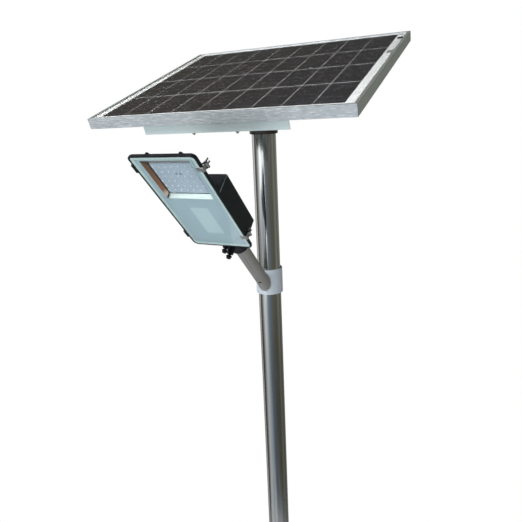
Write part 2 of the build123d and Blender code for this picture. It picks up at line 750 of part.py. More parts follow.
def mask_places():
    return [(x, y) for x in (-MASK_SCREW_X, MASK_SCREW_X) for y in MASK_SCREW_Y]


def mask_bosses():
    """Pillars that carry the mask sheet; each reaches out into the casting's side."""
    top = MASK_FACE - MASK_THICK
    bosses = []
    for x, y in mask_places():
        pillar = rod(MASK_BOSS_R, (x, y, MASK_BOSS_BACK), (x, y, top))
        side = 1 if x > 0 else -1
        web_x = sorted((x, side * (BOX_HALF_W - BITE)))
        web_y = (y - MASK_WEB_HALF, y + MASK_WEB_HALF)
        pillar += block(web_x, web_y, (FLANGE_BOTTOM, FLANGE_TOP))
        bosses.append(pillar)
    return bosses


def gasket_ring(top):
    """The sealing cord in its groove, up to a height."""
    inset = FLANGE_INSET + GASKET_OUT
    z = (FLANGE_TOP - GASKET_DEEP, top)
    corner = LAMP_CORNER - inset
    ring = slab(HALF_W - inset, HALF_L - inset, corner, z)
    inner = inset + GASKET_W
    return ring - slab(HALF_W - inner, HALF_L - inner, corner - GASKET_W, z)


# ---- lamp head: hinge and latch parts on the casting --------------------------------------
def knuckle(y):
    return rod(KNUCKLE_R, (HINGE_X, y[0], HINGE_Z), (HINGE_X, y[1], HINGE_Z))


def housing_knuckle_spans():
    near = KNUCKLE_HALF + KNUCKLE_GAP
    far = KNUCKLE_HALF + KNUCKLE_GAP + KNUCKLE_SIDE
    return [span for y in HINGE_Y for span in ((y - far, y - near), (y + near, y + far))]


def hinge_knuckles():
    pieces = []
    for span in housing_knuckle_spans():
        arm = profile_y(hinge_web_outline(), span)
        bore = rod(HINGE_PIN_R, (HINGE_X, span[0], HINGE_Z), (HINGE_X, span[1], HINGE_Z))
        pieces.append(arm + knuckle(span) - bore)
    return pieces


def hinge_web_outline():
    """The knuckle's arm, sloping from the flange's underside up to the knuckle."""
    inside = FLANGE_INSET - HALF_W + BITE
    return [
        (HINGE_X, FLANGE_TOP),
        (inside, FLANGE_TOP),
        (inside, FLANGE_BOTTOM),
        (HINGE_X, HINGE_Z - KNUCKLE_R),
    ]


def hinge_pins():
    reach = KNUCKLE_HALF + KNUCKLE_GAP + KNUCKLE_SIDE + HINGE_PIN_PROUD
    return [
        rod(HINGE_PIN_R, (HINGE_X, y - reach, HINGE_Z), (HINGE_X, y + reach, HINGE_Z))
        for y in HINGE_Y
    ]


def latch_lugs():
    """Two ears either side of each latch, standing out from the flange."""
    edge = HALF_W - FLANGE_INSET
    lugs = []
    for y in LATCH_Y.values():
        near = LATCH_HALF_W + LATCH_EAR_GAP
        far = near + LATCH_EAR
        for span in ((y - far, y - near), (y + near, y + far)):
            ear = rod(LATCH_EYE_R, (LATCH_X, span[0], LATCH_Z), (LATCH_X, span[1], LATCH_Z))
            ear += profile_y(latch_ear_outline(edge), span)
            ear -= rod(LATCH_PIN_R, (LATCH_X, span[0], LATCH_Z), (LATCH_X, span[1], LATCH_Z))
            lugs.append(ear)
    return lugs


def latch_ear_outline(edge):
    """An ear that slopes back from the flange's edge to the latch's pin."""
    return [
        (edge - BITE, FLANGE_TOP),
        (edge, FLANGE_TOP),
        (LATCH_X + LATCH_EYE_R, LATCH_Z),
        (LATCH_X, LATCH_Z - LATCH_EYE_R),
        (edge - BITE, FLANGE_BOTTOM),
    ]


def latch_pins():
    reach = LATCH_HALF_W + LATCH_EAR_GAP + LATCH_EAR + LATCH_PIN_PROUD
    return [
        rod(LATCH_PIN_R, (LATCH_X, y - reach, LATCH_Z), (LATCH_X, y + reach, LATCH_Z))
        for y in LATCH_Y.values()
    ]


def latch_clip(y):
    """A bent strip: nose over the cover's notch, eye on the pin, forked finger tail."""
    inner = LATCH_X - LATCH_EYE_R
    outer = inner + LATCH_SHEET
    nose = LATCH_NOTCH_X + LATCH_NOSE_GAP
    crown = STRIKE_THICK - LATCH_PRESS
    strip = [
        (inner, LATCH_FORK_Z),
        (inner, crown),
        (nose + LATCH_SHEET, crown),
        (nose + LATCH_SHEET, -LAMP_GLASS / 2),
        (nose, -LAMP_GLASS / 2),
        (nose, crown + LATCH_SHEET),
        (outer, crown + LATCH_SHEET),
        (outer, LATCH_FORK_Z),
    ]
    tail = [
        (inner, LATCH_FORK_Z),
        (inner + LATCH_FLARE, LATCH_TAIL_Z),
        (outer + LATCH_FLARE, LATCH_TAIL_Z),
        (outer, LATCH_FORK_Z),
    ]
    span = (y - LATCH_HALF_W, y + LATCH_HALF_W)
    clip = profile_y(strip, span)
    clip += profile_y(tail, span)
    clip += rod(LATCH_EYE_R, (LATCH_X, span[0], LATCH_Z), (LATCH_X, span[1], LATCH_Z))
    bore = LATCH_PIN_R + RUNNING
    clip -= rod(bore, (LATCH_X, span[0], LATCH_Z), (LATCH_X, span[1], LATCH_Z))
    fork_y = (y - LATCH_HALF_W / 3, y + LATCH_HALF_W / 3)
    return clip - block((inner - BITE, LATCH_X + BITE), fork_y, (LATCH_TAIL_Z - BITE, LATCH_FORK_Z))


# ---- lamp head: cover ---------------------------------------------------------------------
def cover_frame():
    """A thin rim that holds the glass, with hinge knuckles and a notch for each latch."""
    frame = slab(HALF_W, HALF_L, LAMP_CORNER, (-COVER_DEPTH, 0))
    frame -= cover_glass()
    inset = COVER_BORDER + COVER_LEDGE
    hole_z = (-COVER_DEPTH, -LAMP_GLASS)
    frame -= slab(HALF_W - inset, HALF_L - inset, LAMP_CORNER - inset, hole_z)
    for y in LATCH_Y.values():
        half = LATCH_HALF_W + LATCH_NOTCH_GAP
        frame -= block((LATCH_NOTCH_X, HALF_W + BITE), (y - half, y + half), (-COVER_DEPTH, 0))
    for y in HINGE_Y:
        span = (y - KNUCKLE_HALF, y + KNUCKLE_HALF)
        frame += knuckle(span)
        arm_z = (HINGE_Z + KNUCKLE_LIFT, HINGE_Z + KNUCKLE_R)
        frame += block((HINGE_X, BITE - HALF_W), span, arm_z)
        bore = HINGE_PIN_R + RUNNING
        frame -= rod(bore, (HINGE_X, span[0], HINGE_Z), (HINGE_X, span[1], HINGE_Z))
    return frame


def cover_glass():
    corner = LAMP_CORNER - COVER_BORDER
    return slab(HALF_W - COVER_BORDER, HALF_L - COVER_BORDER, corner, (-LAMP_GLASS, 0))


def latch_strikes():
    """Thin plates on the glass's edge that the latches' noses come down beside."""
    edge = LATCH_NOTCH_X - LATCH_NOSE_GAP
    return [
        block((STRIKE_INNER_X, edge), (y - LATCH_HALF_W, y + LATCH_HALF_W), (0, STRIKE_THICK))
        for y in LATCH_Y.values()
    ]


# ---- lamp head: light engine --------------------------------------------------------------
def mask_sheet():
    """The painted sheet behind the glass, open at the light window."""
    z = (MASK_FACE - MASK_THICK, MASK_FACE)
    sheet = slab(*MASK_HALF, COVER_LEDGE, z)
    half_w, half_l = WINDOW_HALF
    sheet -= block((-half_w, half_w), (WINDOW_Y - half_l, WINDOW_Y + half_l), z)
    for x, y in mask_places():
        sheet -= rod(MASK_SCREW_R, (x, y, z[0]), (x, y, z[1]))
    return sheet


def mask_screws():
    screws = []
    for x, y in mask_places():
        screw = rod(MASK_SCREW_R, (x, y, MASK_BOSS_BACK + MASK_SCREW_SHORT), (x, y, MASK_FACE))
        head = rod(2 * MASK_SCREW_R, (x, y, MASK_FACE), (x, y, MASK_FACE + MASK_SCREW_HEAD))
        screws.append(screw + head)
    return screws


def funnel(grow):
    """The sloping space from the window down to the light board."""
    wide_w, wide_l = [half + grow for half in WINDOW_HALF]
    narrow_w, narrow_l = [half + gap + grow for half, gap in zip(BOARD_HALF, BEVEL_GAP)]
    wide = Pos(0, WINDOW_Y, MASK_FACE - MASK_THICK) * Rectangle(2 * wide_w, 2 * wide_l)
    narrow = Pos(0, BOARD_Y, BOARD_FACE) * Rectangle(2 * narrow_w, 2 * narrow_l)
    return loft([narrow, wide])


def reflector():
    return funnel(0) - funnel(-REFLECTOR_THICK)


def led_board():
    half_w, half_l = BOARD_HALF
    z = (BOARD_FACE - BOARD_THICK, BOARD_FACE)
    return block((-half_w, half_w), (BOARD_Y - half_l, BOARD_Y + half_l), z)


def led_places():
    grid = GridLocations(*LED_PITCH, LED_COLS, LED_ROWS)
    return [Pos(0, BOARD_Y, 0) * place for place in grid]


def led_chips():
    chip = Pos(0, 0, BOARD_FACE + LED_THICK / 2) * Box(LED_SIDE, LED_SIDE, LED_THICK)
    return [place * chip for place in led_places()]


def lens_array():
    """A clear plate with one dome over each light chip."""
    low, high = LENS_PLATE
    half_w, half_l = BOARD_HALF
    x = (LENS_INSET - half_w, half_w - LENS_INSET)
    y = (BOARD_Y - half_l + LENS_INSET, BOARD_Y + half_l - LENS_INSET)
    plate = block(x, y, LENS_PLATE)
    centre = high + LENS_HEIGHT - LENS_R
    ball = Pos(0, 0, centre) * Sphere(LENS_R)
    dome = ball & block((-LENS_R, LENS_R), (-LENS_R, LENS_R), (low, high + LENS_HEIGHT))
    return plate + [place * dome for place in led_places()]


def heat_spreader():
    """An aluminium plate between the light board and the casting's floor."""
    floor = PAN_BACK + CASTING_WALL
    half_w, half_l = BOARD_HALF
    y = (BOX_SHOULDER, BOARD_Y + half_l)
    return block((-half_w, half_w), y, (floor, BOARD_FACE - BOARD_THICK))


# ---- lamp head: battery and electronics ---------------------------------------------------
def battery_cells():
    cells = []
    for x in CELL_COLUMNS:
        for y in CELL_STARTS:
            body = rod(CELL_R, (x, y, CELL_Z), (x, y + CELL_LEN - CELL_BUTTON, CELL_Z))
            cells.append(body + rod(CELL_R / 3, (x, y, CELL_Z), (x, y + CELL_LEN, CELL_Z)))
    return cells


def battery_tray():
    floor = BOX_BACK + CASTING_WALL
    low = CELL_Z - CELL_R
    x = (-TRAY_HALF_W, TRAY_HALF_W)
    near, far = TRAY_Y
    lip = (low, low + TRAY_LIP)
    tray = block(x, TRAY_Y, (floor, low))
    tray += block(x, (near, near + TRAY_WALL), lip)
    return tray + block(x, (far - TRAY_WALL, far), lip)


def battery_straps():
    top = CELL_Z + CELL_R
    reach = TRAY_HALF_W + STRAP_SIDE
    straps = []
    for start in CELL_STARTS:
        middle = start + CELL_LEN / 2
        y = (middle - STRAP_HALF_W, middle + STRAP_HALF_W)
        strap = block((-reach, reach), y, (top, top + STRAP_THICK))
        for side in (-1, 1):
            x = sorted((side * TRAY_HALF_W, side * reach))
            strap += block(x, y, (BOX_BACK + CASTING_WALL, top))
        straps.append(strap)
    return straps


def board_standoffs():
    floor = BOX_BACK + CASTING_WALL
    return [
        rod(STANDOFF_R, (x, y, floor), (x, y, PCB_Z[0]))
        for x in (-STANDOFF_X, STANDOFF_X)
        for y in STANDOFF_Y
    ]


def controller_board():
    return block((-PCB_HALF_W, PCB_HALF_W), PCB_Y, PCB_Z)


def controller_parts():
    """Capacitors, a choke, a driver chip and its cooler on the controller board."""
    top = PCB_Z[1]
    parts = [rod(radius, (x, y, top), (x, y, top + height)) for radius, height, x, y in CAPACITORS]
    choke_foot = (*CHOKE_AT, top)
    choke_head = (*CHOKE_AT, top + CHOKE_HEIGHT)
    parts.append(rod(CHOKE_R, choke_foot, choke_head) - rod(CHOKE_BORE_R, choke_foot, choke_head))
    cooler = block(COOLER_X, COOLER_Y, (top, top + COOLER_BASE))
    fin_z = (top + COOLER_BASE, top + COOLER_HEIGHT)
    pitch = (COOLER_X[1] - COOLER_X[0] - COOLER_FIN_THICK) / (COOLER_FINS - 1)
    for index in range(COOLER_FINS):
        x = COOLER_X[0] + index * pitch
        cooler += block((x, x + COOLER_FIN_THICK), COOLER_Y, fin_z)
    return parts + [cooler, block(DRIVER_X, DRIVER_Y, (top, top + DRIVER_THICK))]


def terminal_block():
    """A screw terminal strip: a screw well above each wire's mouth."""
    foot = PCB_Z[1]
    top = foot + TERMINAL_HEIGHT
    body = block(TERMINAL_X, TERMINAL_Y, (foot, top))
    pitch = (TERMINAL_X[1] - TERMINAL_X[0]) / TERMINAL_WAYS
    mouth_z = [foot + height for height in TERMINAL_MOUTH_Z]
    for index in range(TERMINAL_WAYS):
        x = TERMINAL_X[0] + (index + 0.5) * pitch
        well_foot = (x, TERMINAL_SCREW_Y, foot + TERMINAL_SCREW_FOOT)
        body -= rod(TERMINAL_SCREW_R, well_foot, (x, TERMINAL_SCREW_Y, top))
        mouth_x = (x - TERMINAL_MOUTH_HALF_W, x + TERMINAL_MOUTH_HALF_W)
        body -= block(mouth_x, (TERMINAL_Y[0], TERMINAL_SCREW_Y - TERMINAL_SCREW_R), mouth_z)
    return body


# ---- lamp head: spigot --------------------------------------------------------------------
def lamp_spigot():
    """The sleeve that slips over the arm, with bosses for its two clamp bolts."""
    end = (0, SPIGOT_END, AXIS_Z)
    wall = (0, BOX_END, AXIS_Z)
    sleeve = rod(SPIGOT_R, end, wall)
    flange_y = (BOX_END - SPIGOT_FLANGE, BOX_END)
    flange_z = (BOX_BACK + SPIGOT_FLANGE_MARGIN, PAN_BACK - SPIGOT_FLANGE_MARGIN)
    sleeve += block((-SPIGOT_FLANGE_HALF_W, SPIGOT_FLANGE_HALF_W), flange_y, flange_z)
    for y in CLAMP_BOLT_Y:
        sleeve += rod(CLAMP_BOSS_R, (0, y, AXIS_Z), (0, y, CLAMP_BOSS_TOP))
    sleeve -= rod(ARM_R + RUNNING, end, (0, SPIGOT_BORE_STOP, AXIS_Z))
    sleeve -= rod(SPIGOT_WIRE_R, end, wall)
    for y in CLAMP_BOLT_Y:
        sleeve -= rod(CLAMP_BOLT_R, (0, y, AXIS_Z), (0, y, CLAMP_BOSS_TOP))
    return sleeve


def clamp_bolts():
    tip = AXIS_Z + ARM_R + TIP_GAP
    bolts = []
    for y in CLAMP_BOLT_Y:
        seat = (0, y, CLAMP_SEAT)
        length = CLAMP_SEAT - tip
        body = bolt(seat, (0, 0, 1), CLAMP_BOLT_R, length, CLAMP_BOLT_FLATS, CLAMP_BOLT_HEAD)
        bolts.append(body + rod(CLAMP_FLANGE_R, (0, y, CLAMP_SEAT - CLAMP_FLANGE), seat))
    return bolts


# ---- write every node ---------------------------------------------------------------------
def place(frame, shapes):
    return [frame * shape for shape in (shapes if isinstance(shapes, list) else [shapes])]


def write_parts():
    os.makedirs("parts", exist_ok=True)
    pivot_bolt, pivot_nut = cross_bolt(
        (0, PIVOT_Z), PIVOT_BOLT_R, PIVOT_BOLT_FLATS, PIVOT_BOLT_HEAD, PIVOT_WASHER_R
    )
    lock_y, lock_z = lock_point(0)
    lock_bolt, lock_nut = cross_bolt(
        (lock_y, PIVOT_Z + lock_z), LOCK_BOLT_R, LOCK_BOLT_FLATS, LOCK_BOLT_HEAD, LOCK_WASHER_R
    )
    standing = {
        "base_plate": base_plate(),
        "base_gussets": gussets(),
        "pole_tube": pole_tube(),
        "mount_socket": mount_socket(),
        "socket_cap": socket_cap(),
        "socket_bolts": [set_bolt(angle, z, SOCKET_R) for angle, z in SOCKET_BOLTS],
        "socket_nuts": [weld_nut(angle, z, SOCKET_R) for angle, z in SOCKET_BOLTS],
        "wire_grommet": wire_grommet(),
        "tilt_yoke": tilt_yoke(),
        "lock_bolt": lock_bolt,
        "lock_nut": lock_nut,
        "pivot_bolt": pivot_bolt,
        "pivot_nut": pivot_nut,
        "arm_collar": arm_collar(),
        "arm_tube": arm_tube(),
        "collar_bolts": [set_bolt(angle, z, COLLAR_R) for angle, z in COLLAR_BOLTS],
        "collar_nuts": [weld_nut(angle, z, COLLAR_R) for angle, z in COLLAR_BOLTS],
    }
    front = frame_front()
    left = Rot(0, 0, -90) * frame_side(PANEL_D, PANEL_L)
    panel = {
        "tilt_plates": tilt_plates(),
        "cross_members": cross_members(),
        "front_rail": front_rail(),
        "rear_rail": mirror(front_rail(), about=Plane.XZ),
        "rack_bolts": rack_bolts(),
        "rack_nuts": rack_nuts(),
        "frame_front": front,
        "frame_rear": mirror(front, about=Plane.XZ),
        "frame_left": left,
        "frame_right": mirror(left, about=Plane.YZ),
        "frame_corner_keys": corner_keys(),
        "panel_glass": panel_sheet((GLASS_BACK, -FRAME_WALL)),
        "solar_cells": solar_cells(),
        "cell_encapsulant": panel_sheet((CELL_BACK, GLASS_BACK)) - solar_cells(),
        "panel_back_sheet": panel_sheet((LAMINATE_BACK, CELL_BACK)),
        "junction_box": junction_box(),
        "junction_lid": junction_lid(),
        "junction_glands": junction_glands(),
    }
    lamp = {
        "lamp_housing": lamp_housing(),
        "housing_gasket": gasket_ring(-COVER_DEPTH - GASKET_GAP),
        "hinge_pins": hinge_pins(),
        "latch_pins": latch_pins(),
        "upper_latch": latch_clip(LATCH_Y["upper"]),
        "lower_latch": latch_clip(LATCH_Y["lower"]),
        "cover_frame": cover_frame(),
        "cover_glass": cover_glass(),
        "latch_strikes": latch_strikes(),
        "mask_sheet": mask_sheet(),
        "mask_screws": mask_screws(),
        "reflector": reflector(),
        "led_board": led_board(),
        "led_chips": led_chips(),
        "lens_array": lens_array(),
        "heat_spreader": heat_spreader(),
        "battery_cells": battery_cells(),
        "battery_tray": battery_tray(),
        "battery_straps": battery_straps(),
        "board_standoffs": board_standoffs(),
        "controller_board": controller_board(),
        "controller_parts": controller_parts(),
        "terminal_block": terminal_block(),
        "lamp_spigot": lamp_spigot(),
        "clamp_bolts": clamp_bolts(),
    }
    for frame, group in ((Location(), standing), (PANEL, panel), (HEAD, lamp)):
        for name, shapes in group.items():
            save(name, *place(frame, shapes))


write_parts()
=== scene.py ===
import json
from math import cos, pi, radians, sin, sqrt

import bmesh
import bpy
from mathutils import Matrix, Vector

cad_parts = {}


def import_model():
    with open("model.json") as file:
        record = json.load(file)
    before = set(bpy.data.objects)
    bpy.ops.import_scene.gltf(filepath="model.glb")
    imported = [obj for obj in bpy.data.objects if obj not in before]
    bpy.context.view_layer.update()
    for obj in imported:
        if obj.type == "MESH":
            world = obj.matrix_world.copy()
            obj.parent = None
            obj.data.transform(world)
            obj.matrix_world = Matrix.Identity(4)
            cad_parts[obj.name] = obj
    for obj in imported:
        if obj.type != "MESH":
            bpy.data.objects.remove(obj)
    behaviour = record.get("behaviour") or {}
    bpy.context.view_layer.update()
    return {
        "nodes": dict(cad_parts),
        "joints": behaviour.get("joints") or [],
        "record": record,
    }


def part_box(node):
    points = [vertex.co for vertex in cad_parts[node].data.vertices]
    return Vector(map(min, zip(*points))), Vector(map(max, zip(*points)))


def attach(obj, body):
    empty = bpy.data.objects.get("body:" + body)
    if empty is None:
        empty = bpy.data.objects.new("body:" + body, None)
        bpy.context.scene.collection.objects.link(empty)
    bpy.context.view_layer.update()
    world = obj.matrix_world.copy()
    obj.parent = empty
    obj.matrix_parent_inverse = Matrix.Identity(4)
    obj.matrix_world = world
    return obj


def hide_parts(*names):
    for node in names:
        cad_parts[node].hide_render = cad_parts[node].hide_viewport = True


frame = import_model()
NODES = frame["nodes"]
JOINTS = {joint["name"]: joint for joint in frame["joints"]}
MM = 0.001

# ---- frames of the tilted parts, worked out from the joints and the nodes --------------------


def rotation_from(x_axis, y_axis):
    x_axis, y_axis = x_axis.normalized(), y_axis.normalized()
    return Matrix((x_axis, y_axis, x_axis.cross(y_axis))).transposed()


def local_box(node, turn):
    """Low and high corner of a node along the columns of a rotation."""
    back = turn.transposed()
    points = [back @ vertex.co for vertex in NODES[node].data.vertices]
    low = Vector([min(point[axis] for point in points) for axis in range(3)])
    high = Vector([max(point[axis] for point in points) for axis in range(3)])
    return low, high


def face_frame(turn, node):
    """A frame whose origin is the middle of a node's +Z face, as a 4 x 4 matrix."""
    low, high = local_box(node, turn)
    centre = turn @ Vector(((low.x + high.x) / 2, (low.y + high.y) / 2, high.z))
    return Matrix.Translation(centre) @ turn.to_4x4()


def panel_turn():
    """The panel's rotation, from the two low corners and a high one of its left frame side."""
    points = [vertex.co for vertex in NODES["frame_left"].data.vertices]
    front = min(points, key=lambda point: point.y - 0.001 * point.z)
    rear = max(points, key=lambda point: point.z)
    front_top = max((p for p in points if p.y < front.y + 0.02), key=lambda p: p.z)
    return rotation_from(Vector((1, 0, 0)), Vector((0, rear.y - front_top.y, rear.z - front_top.z)))


HEAD_TURN = rotation_from(Vector((1, 0, 0)), Vector(JOINTS["lamp_roll"]["axis"]))
HEAD = face_frame(HEAD_TURN, "cover_glass")
PANEL = face_frame(panel_turn(), "panel_glass")


def inner(frame_matrix, node):
    """A node's box in one of the tilted frames."""
    turn = frame_matrix.to_3x3()
    low, high = local_box(node, turn)
    shift = turn.transposed() @ frame_matrix.translation
    return low - shift, high - shift


# ---- materials -------------------------------------------------------------------------------


def link(tree, source, output, target, name):
    tree.links.new(source.outputs[output], target.inputs[name])


class Shader:
    """A Principled material with small helpers for its nodes."""

    def __init__(self, name, base, roughness, metallic=0.0, place=None):
        self.material = bpy.data.materials.new(name)
        self.material.use_nodes = True
        self.tree = self.material.node_tree
        self.base = self.tree.nodes["Principled BSDF"]
        self.base.inputs["Base Color"].default_value = (*base, 1)
        self.base.inputs["Roughness"].default_value = roughness
        self.base.inputs["Metallic"].default_value = metallic
        self.colour = (*base, 1)
        coordinates = self.add("ShaderNodeTexCoord")
        self.place = self.add("ShaderNodeMapping", vector_type="TEXTURE")
        link(self.tree, coordinates, "Object", self.place, "Vector")
        if place is not None:
            self.place.inputs["Location"].default_value = place.translation
            self.place.inputs["Rotation"].default_value = place.to_euler()
        self.position = self.place.outputs["Vector"]

    def add(self, kind, **settings):
        node = self.tree.nodes.new(kind)
        for key, value in settings.items():
            setattr(node, key, value)
        return node

    def math(self, operation, *values, clamp=False):
        node = self.add("ShaderNodeMath", operation=operation, use_clamp=clamp)
        for index, value in enumerate(values):
            if isinstance(value, (int, float)):
                node.inputs[index].default_value = value
            else:
                self.tree.links.new(value, node.inputs[index])
        return node.outputs[0]

    def axes(self):
        node = self.add("ShaderNodeSeparateXYZ")
        self.tree.links.new(self.position, node.inputs[0])
        return node.outputs

    def scaled(self, scale):
        node = self.add("ShaderNodeMapping")
        node.inputs["Scale"].default_value = scale
        self.tree.links.new(self.position, node.inputs["Vector"])
        return node.outputs["Vector"]

    def noise(self, scale, detail=3.0, distortion=0.0):
        node = self.add("ShaderNodeTexNoise")
        node.inputs["Scale"].default_value = 1.0
        node.inputs["Detail"].default_value = detail
        node.inputs["Distortion"].default_value = distortion
        self.tree.links.new(self.scaled(scale), node.inputs["Vector"])
        return node.outputs["Fac"]

    def cells(self, scale, feature="F1"):
        node = self.add("ShaderNodeTexVoronoi", feature=feature)
        node.inputs["Scale"].default_value = 1.0
        self.tree.links.new(self.scaled(scale), node.inputs["Vector"])
        return node.outputs["Distance"]

    def spread(self, factor, low, high, to_low=0.0, to_high=1.0):
        node = self.add("ShaderNodeMapRange")
        for name, value in zip(("From Min", "From Max", "To Min", "To Max"), (low, high, to_low, to_high)):
            node.inputs[name].default_value = value
        self.tree.links.new(factor, node.inputs["Value"])
        return node.outputs["Result"]

    def tint(self, factor, colour):
        """Mixes another colour over what the base has so far."""
        node = self.add("ShaderNodeMix", data_type="RGBA")
        self.tree.links.new(factor, node.inputs["Factor"])
        socket = self.base.inputs["Base Color"]
        if socket.links:
            self.tree.links.new(socket.links[0].from_socket, node.inputs["A"])
        else:
            node.inputs["A"].default_value = self.colour
        node.inputs["B"].default_value = (*colour, 1)
        self.tree.links.new(node.outputs["Result"], socket)
        return self

    def roughen(self, factor, low, high):
        self.tree.links.new(self.spread(factor, 0.3, 0.7, low, high), self.base.inputs["Roughness"])
        return self

    def bump(self, height, distance, strength=1.0):
        node = self.add("ShaderNodeBump")
        node.inputs["Distance"].default_value = distance
        node.inputs["Strength"].default_value = strength
        self.tree.links.new(height, node.inputs["Height"])
        normal = self.base.inputs["Normal"]
        if normal.links:
            self.tree.links.new(normal.links[0].from_socket, node.inputs["Normal"])
        self.tree.links.new(node.outputs["Normal"], normal)
        return self

    def set(self, **values):
        for name, value in values.items():
            self.base.inputs[name.replace("_", " ")].default_value = value
        return self


def polished_pole():
    """Mirror-finished stainless tube, faintly wavy, with drawing lines and dull smears."""
    shader = Shader("pole_steel", (0.6, 0.595, 0.57), 0.14, 1.0)
    shader.roughen(shader.noise((60, 60, 3), 4), 0.1, 0.24)
    shader.tint(shader.spread(shader.noise((14, 14, 2.2), 5), 0.5, 0.75, 0, 0.55), (0.36, 0.35, 0.31))
    shader.bump(shader.noise((16, 16, 5), 2), 0.0012, 0.35)
    shader.bump(shader.noise((700, 700, 4), 2), 0.00004, 0.5)
    return shader.material


def painted(name, base, roughness, worn, place=None, speckle=900.0, gloss=0.4, corner_highlight=None):
    """Powder coat: fine orange peel, patches of dust and a duller bloom, with a painted highlight along
    corners if asked.
    """
    shader = Shader(name, base, roughness, 0.0, place)
    shader.roughen(shader.noise((35, 35, 35), 4), roughness - 0.08, roughness + 0.12)
    shader.tint(shader.spread(shader.noise((22, 22, 22), 6), 0.5, 0.72, 0, 0.6), worn)
    shader.tint(shader.spread(shader.noise((260, 260, 260), 3), 0.6, 0.74, 0, 0.35), worn)
    if corner_highlight:
        # Painted highlight: a lighter grey along the corners that the given function marks.
        shader.tint(corner_highlight(shader), (0.3, 0.31, 0.33))
    shader.bump(shader.noise((speckle,) * 3, 2), 0.00008, 0.6)
    shader.set(Specular_IOR_Level=gloss)
    return shader.material


# Width of the painted highlight on the lamp box's far corners.
CORNER_HIGHLIGHT_WIDTH = 0.0013  # either side of a corner


def painted_corner_highlight(shader):
    """Share of painted highlight along the two far corners of the lamp's deep box, patchy along its length.
    """
    deepest = inner(HEAD, "lamp_housing")[0].z
    to_head = HEAD.inverted()
    points = [to_head @ vertex.co for vertex in NODES["lamp_housing"].data.vertices]
    deep = [point for point in points if point.z < deepest + MM]
    x, y = shader.axes()[:2]
    side = shader.math("SUBTRACT", shader.math("ABSOLUTE", x), max(point.x for point in deep))
    end = shader.math("SUBTRACT", y, max(point.y for point in deep))
    by_side = shader.math("LESS_THAN", shader.math("ABSOLUTE", side), CORNER_HIGHLIGHT_WIDTH)
    by_end = shader.math("LESS_THAN", shader.math("ABSOLUTE", end), CORNER_HIGHLIGHT_WIDTH)
    patchy = shader.spread(shader.noise((60, 60, 60), 3), 0.3, 0.5, 0.5, 1.0)
    return shader.math("MULTIPLY", shader.math("MULTIPLY", by_side, by_end), patchy)


def drawn_metal(name, base, roughness, along, place=None, film=0.0, dull=(0.4, 0.42, 0.42), metal=1.0):
    """Extruded or rolled metal with lines along one axis, under a wrinkled film if asked, with painted
    highlights on the film's crests and painted shade in its troughs.
    """
    fine = [900.0, 900.0, 900.0]
    fine[along] = 6.0
    broad = [30.0, 30.0, 30.0]
    broad[along] = 4.0
    shader = Shader(name, base, roughness, metal, place)
    shader.roughen(shader.noise(fine, 3), roughness - 0.08, roughness + 0.12)
    shader.tint(shader.spread(shader.noise(broad, 4), 0.45, 0.75, 0, 0.5), dull)
    shader.bump(shader.noise(fine, 2), 0.00005, 0.5)
    if film:
        wrinkle = [330.0, 330.0, 330.0]
        wrinkle[along] = 55.0
        ripple = shader.noise(wrinkle, 2, 0.6)
        shader.bump(ripple, 0.0008, film)
        # Painted highlight on the wrinkle crests.
        shader.tint(shader.spread(ripple, 0.54, 0.66, 0, 0.55 * film), (0.9, 0.92, 0.93))
        # Painted shade in the wrinkle troughs.
        shader.tint(shader.spread(ripple, 0.44, 0.34, 0, 0.4 * film), tuple(0.6 * value for value in base))
    return shader.material


def zinc_plate(name, base=(0.62, 0.62, 0.6)):
    """Plated steel with small crystals and a faint yellow cast."""
    shader = Shader(name, base, 0.34, 1.0)
    distance = shader.cells((220, 220, 220))
    shader.roughen(distance, 0.26, 0.5)
    shader.tint(shader.spread(shader.noise((60, 60, 60), 4), 0.5, 0.7, 0, 0.5), (0.5, 0.46, 0.36))
    shader.bump(shader.noise((500, 500, 500), 3), 0.00006, 0.5)
    return shader.material


def galvanised():
    """Hot-dip zinc with large spangles."""
    shader = Shader("galvanised", (0.55, 0.57, 0.58), 0.42, 0.85)
    distance = shader.cells((90, 90, 90))
    shader.tree.links.new(shader.spread(distance, 0.0, 0.8, 0.34, 0.56), shader.base.inputs["Roughness"])
    shader.tint(shader.spread(shader.noise((55, 55, 55), 5), 0.45, 0.7, 0, 0.6), (0.36, 0.38, 0.4))
    shader.tint(shader.spread(distance, 0.35, 0.8, 0, 0.4), (0.72, 0.74, 0.75))
    shader.bump(shader.noise((300, 300, 300), 3), 0.0001, 0.5)
    return shader.material


def moulded(name, base, roughness, grain=700.0, place=None, soft=None):
    """Moulded plastic or rubber with a fine texture."""
    shader = Shader(name, base, roughness, 0.0, place)
    shader.roughen(shader.noise((90, 90, 90), 3), roughness - 0.06, roughness + 0.1)
    lighter = soft or tuple(min(1, channel * 1.6 + 0.02) for channel in base)
    shader.tint(shader.spread(shader.noise((45, 45, 45), 5), 0.5, 0.75, 0, 0.5), lighter)
    shader.bump(shader.noise((grain,) * 3, 3), 0.0001, 0.5)
    return shader.material


def glass(name, tint, roughness, place, dust, ripple, bend=1.45):
    """Clear glass with patches of dust and a slight surface ripple."""
    shader = Shader(name, tint, roughness, 0.0, place)
    shader.set(Transmission_Weight=1.0, IOR=bend)
    haze = shader.spread(shader.noise((18, 18, 18), 5), 0.5, 0.8, roughness, roughness + dust)
    shader.tree.links.new(haze, shader.base.inputs["Roughness"])
    shader.bump(shader.noise((420, 420, 420), 2), 0.00006, ripple)
    return shader.material


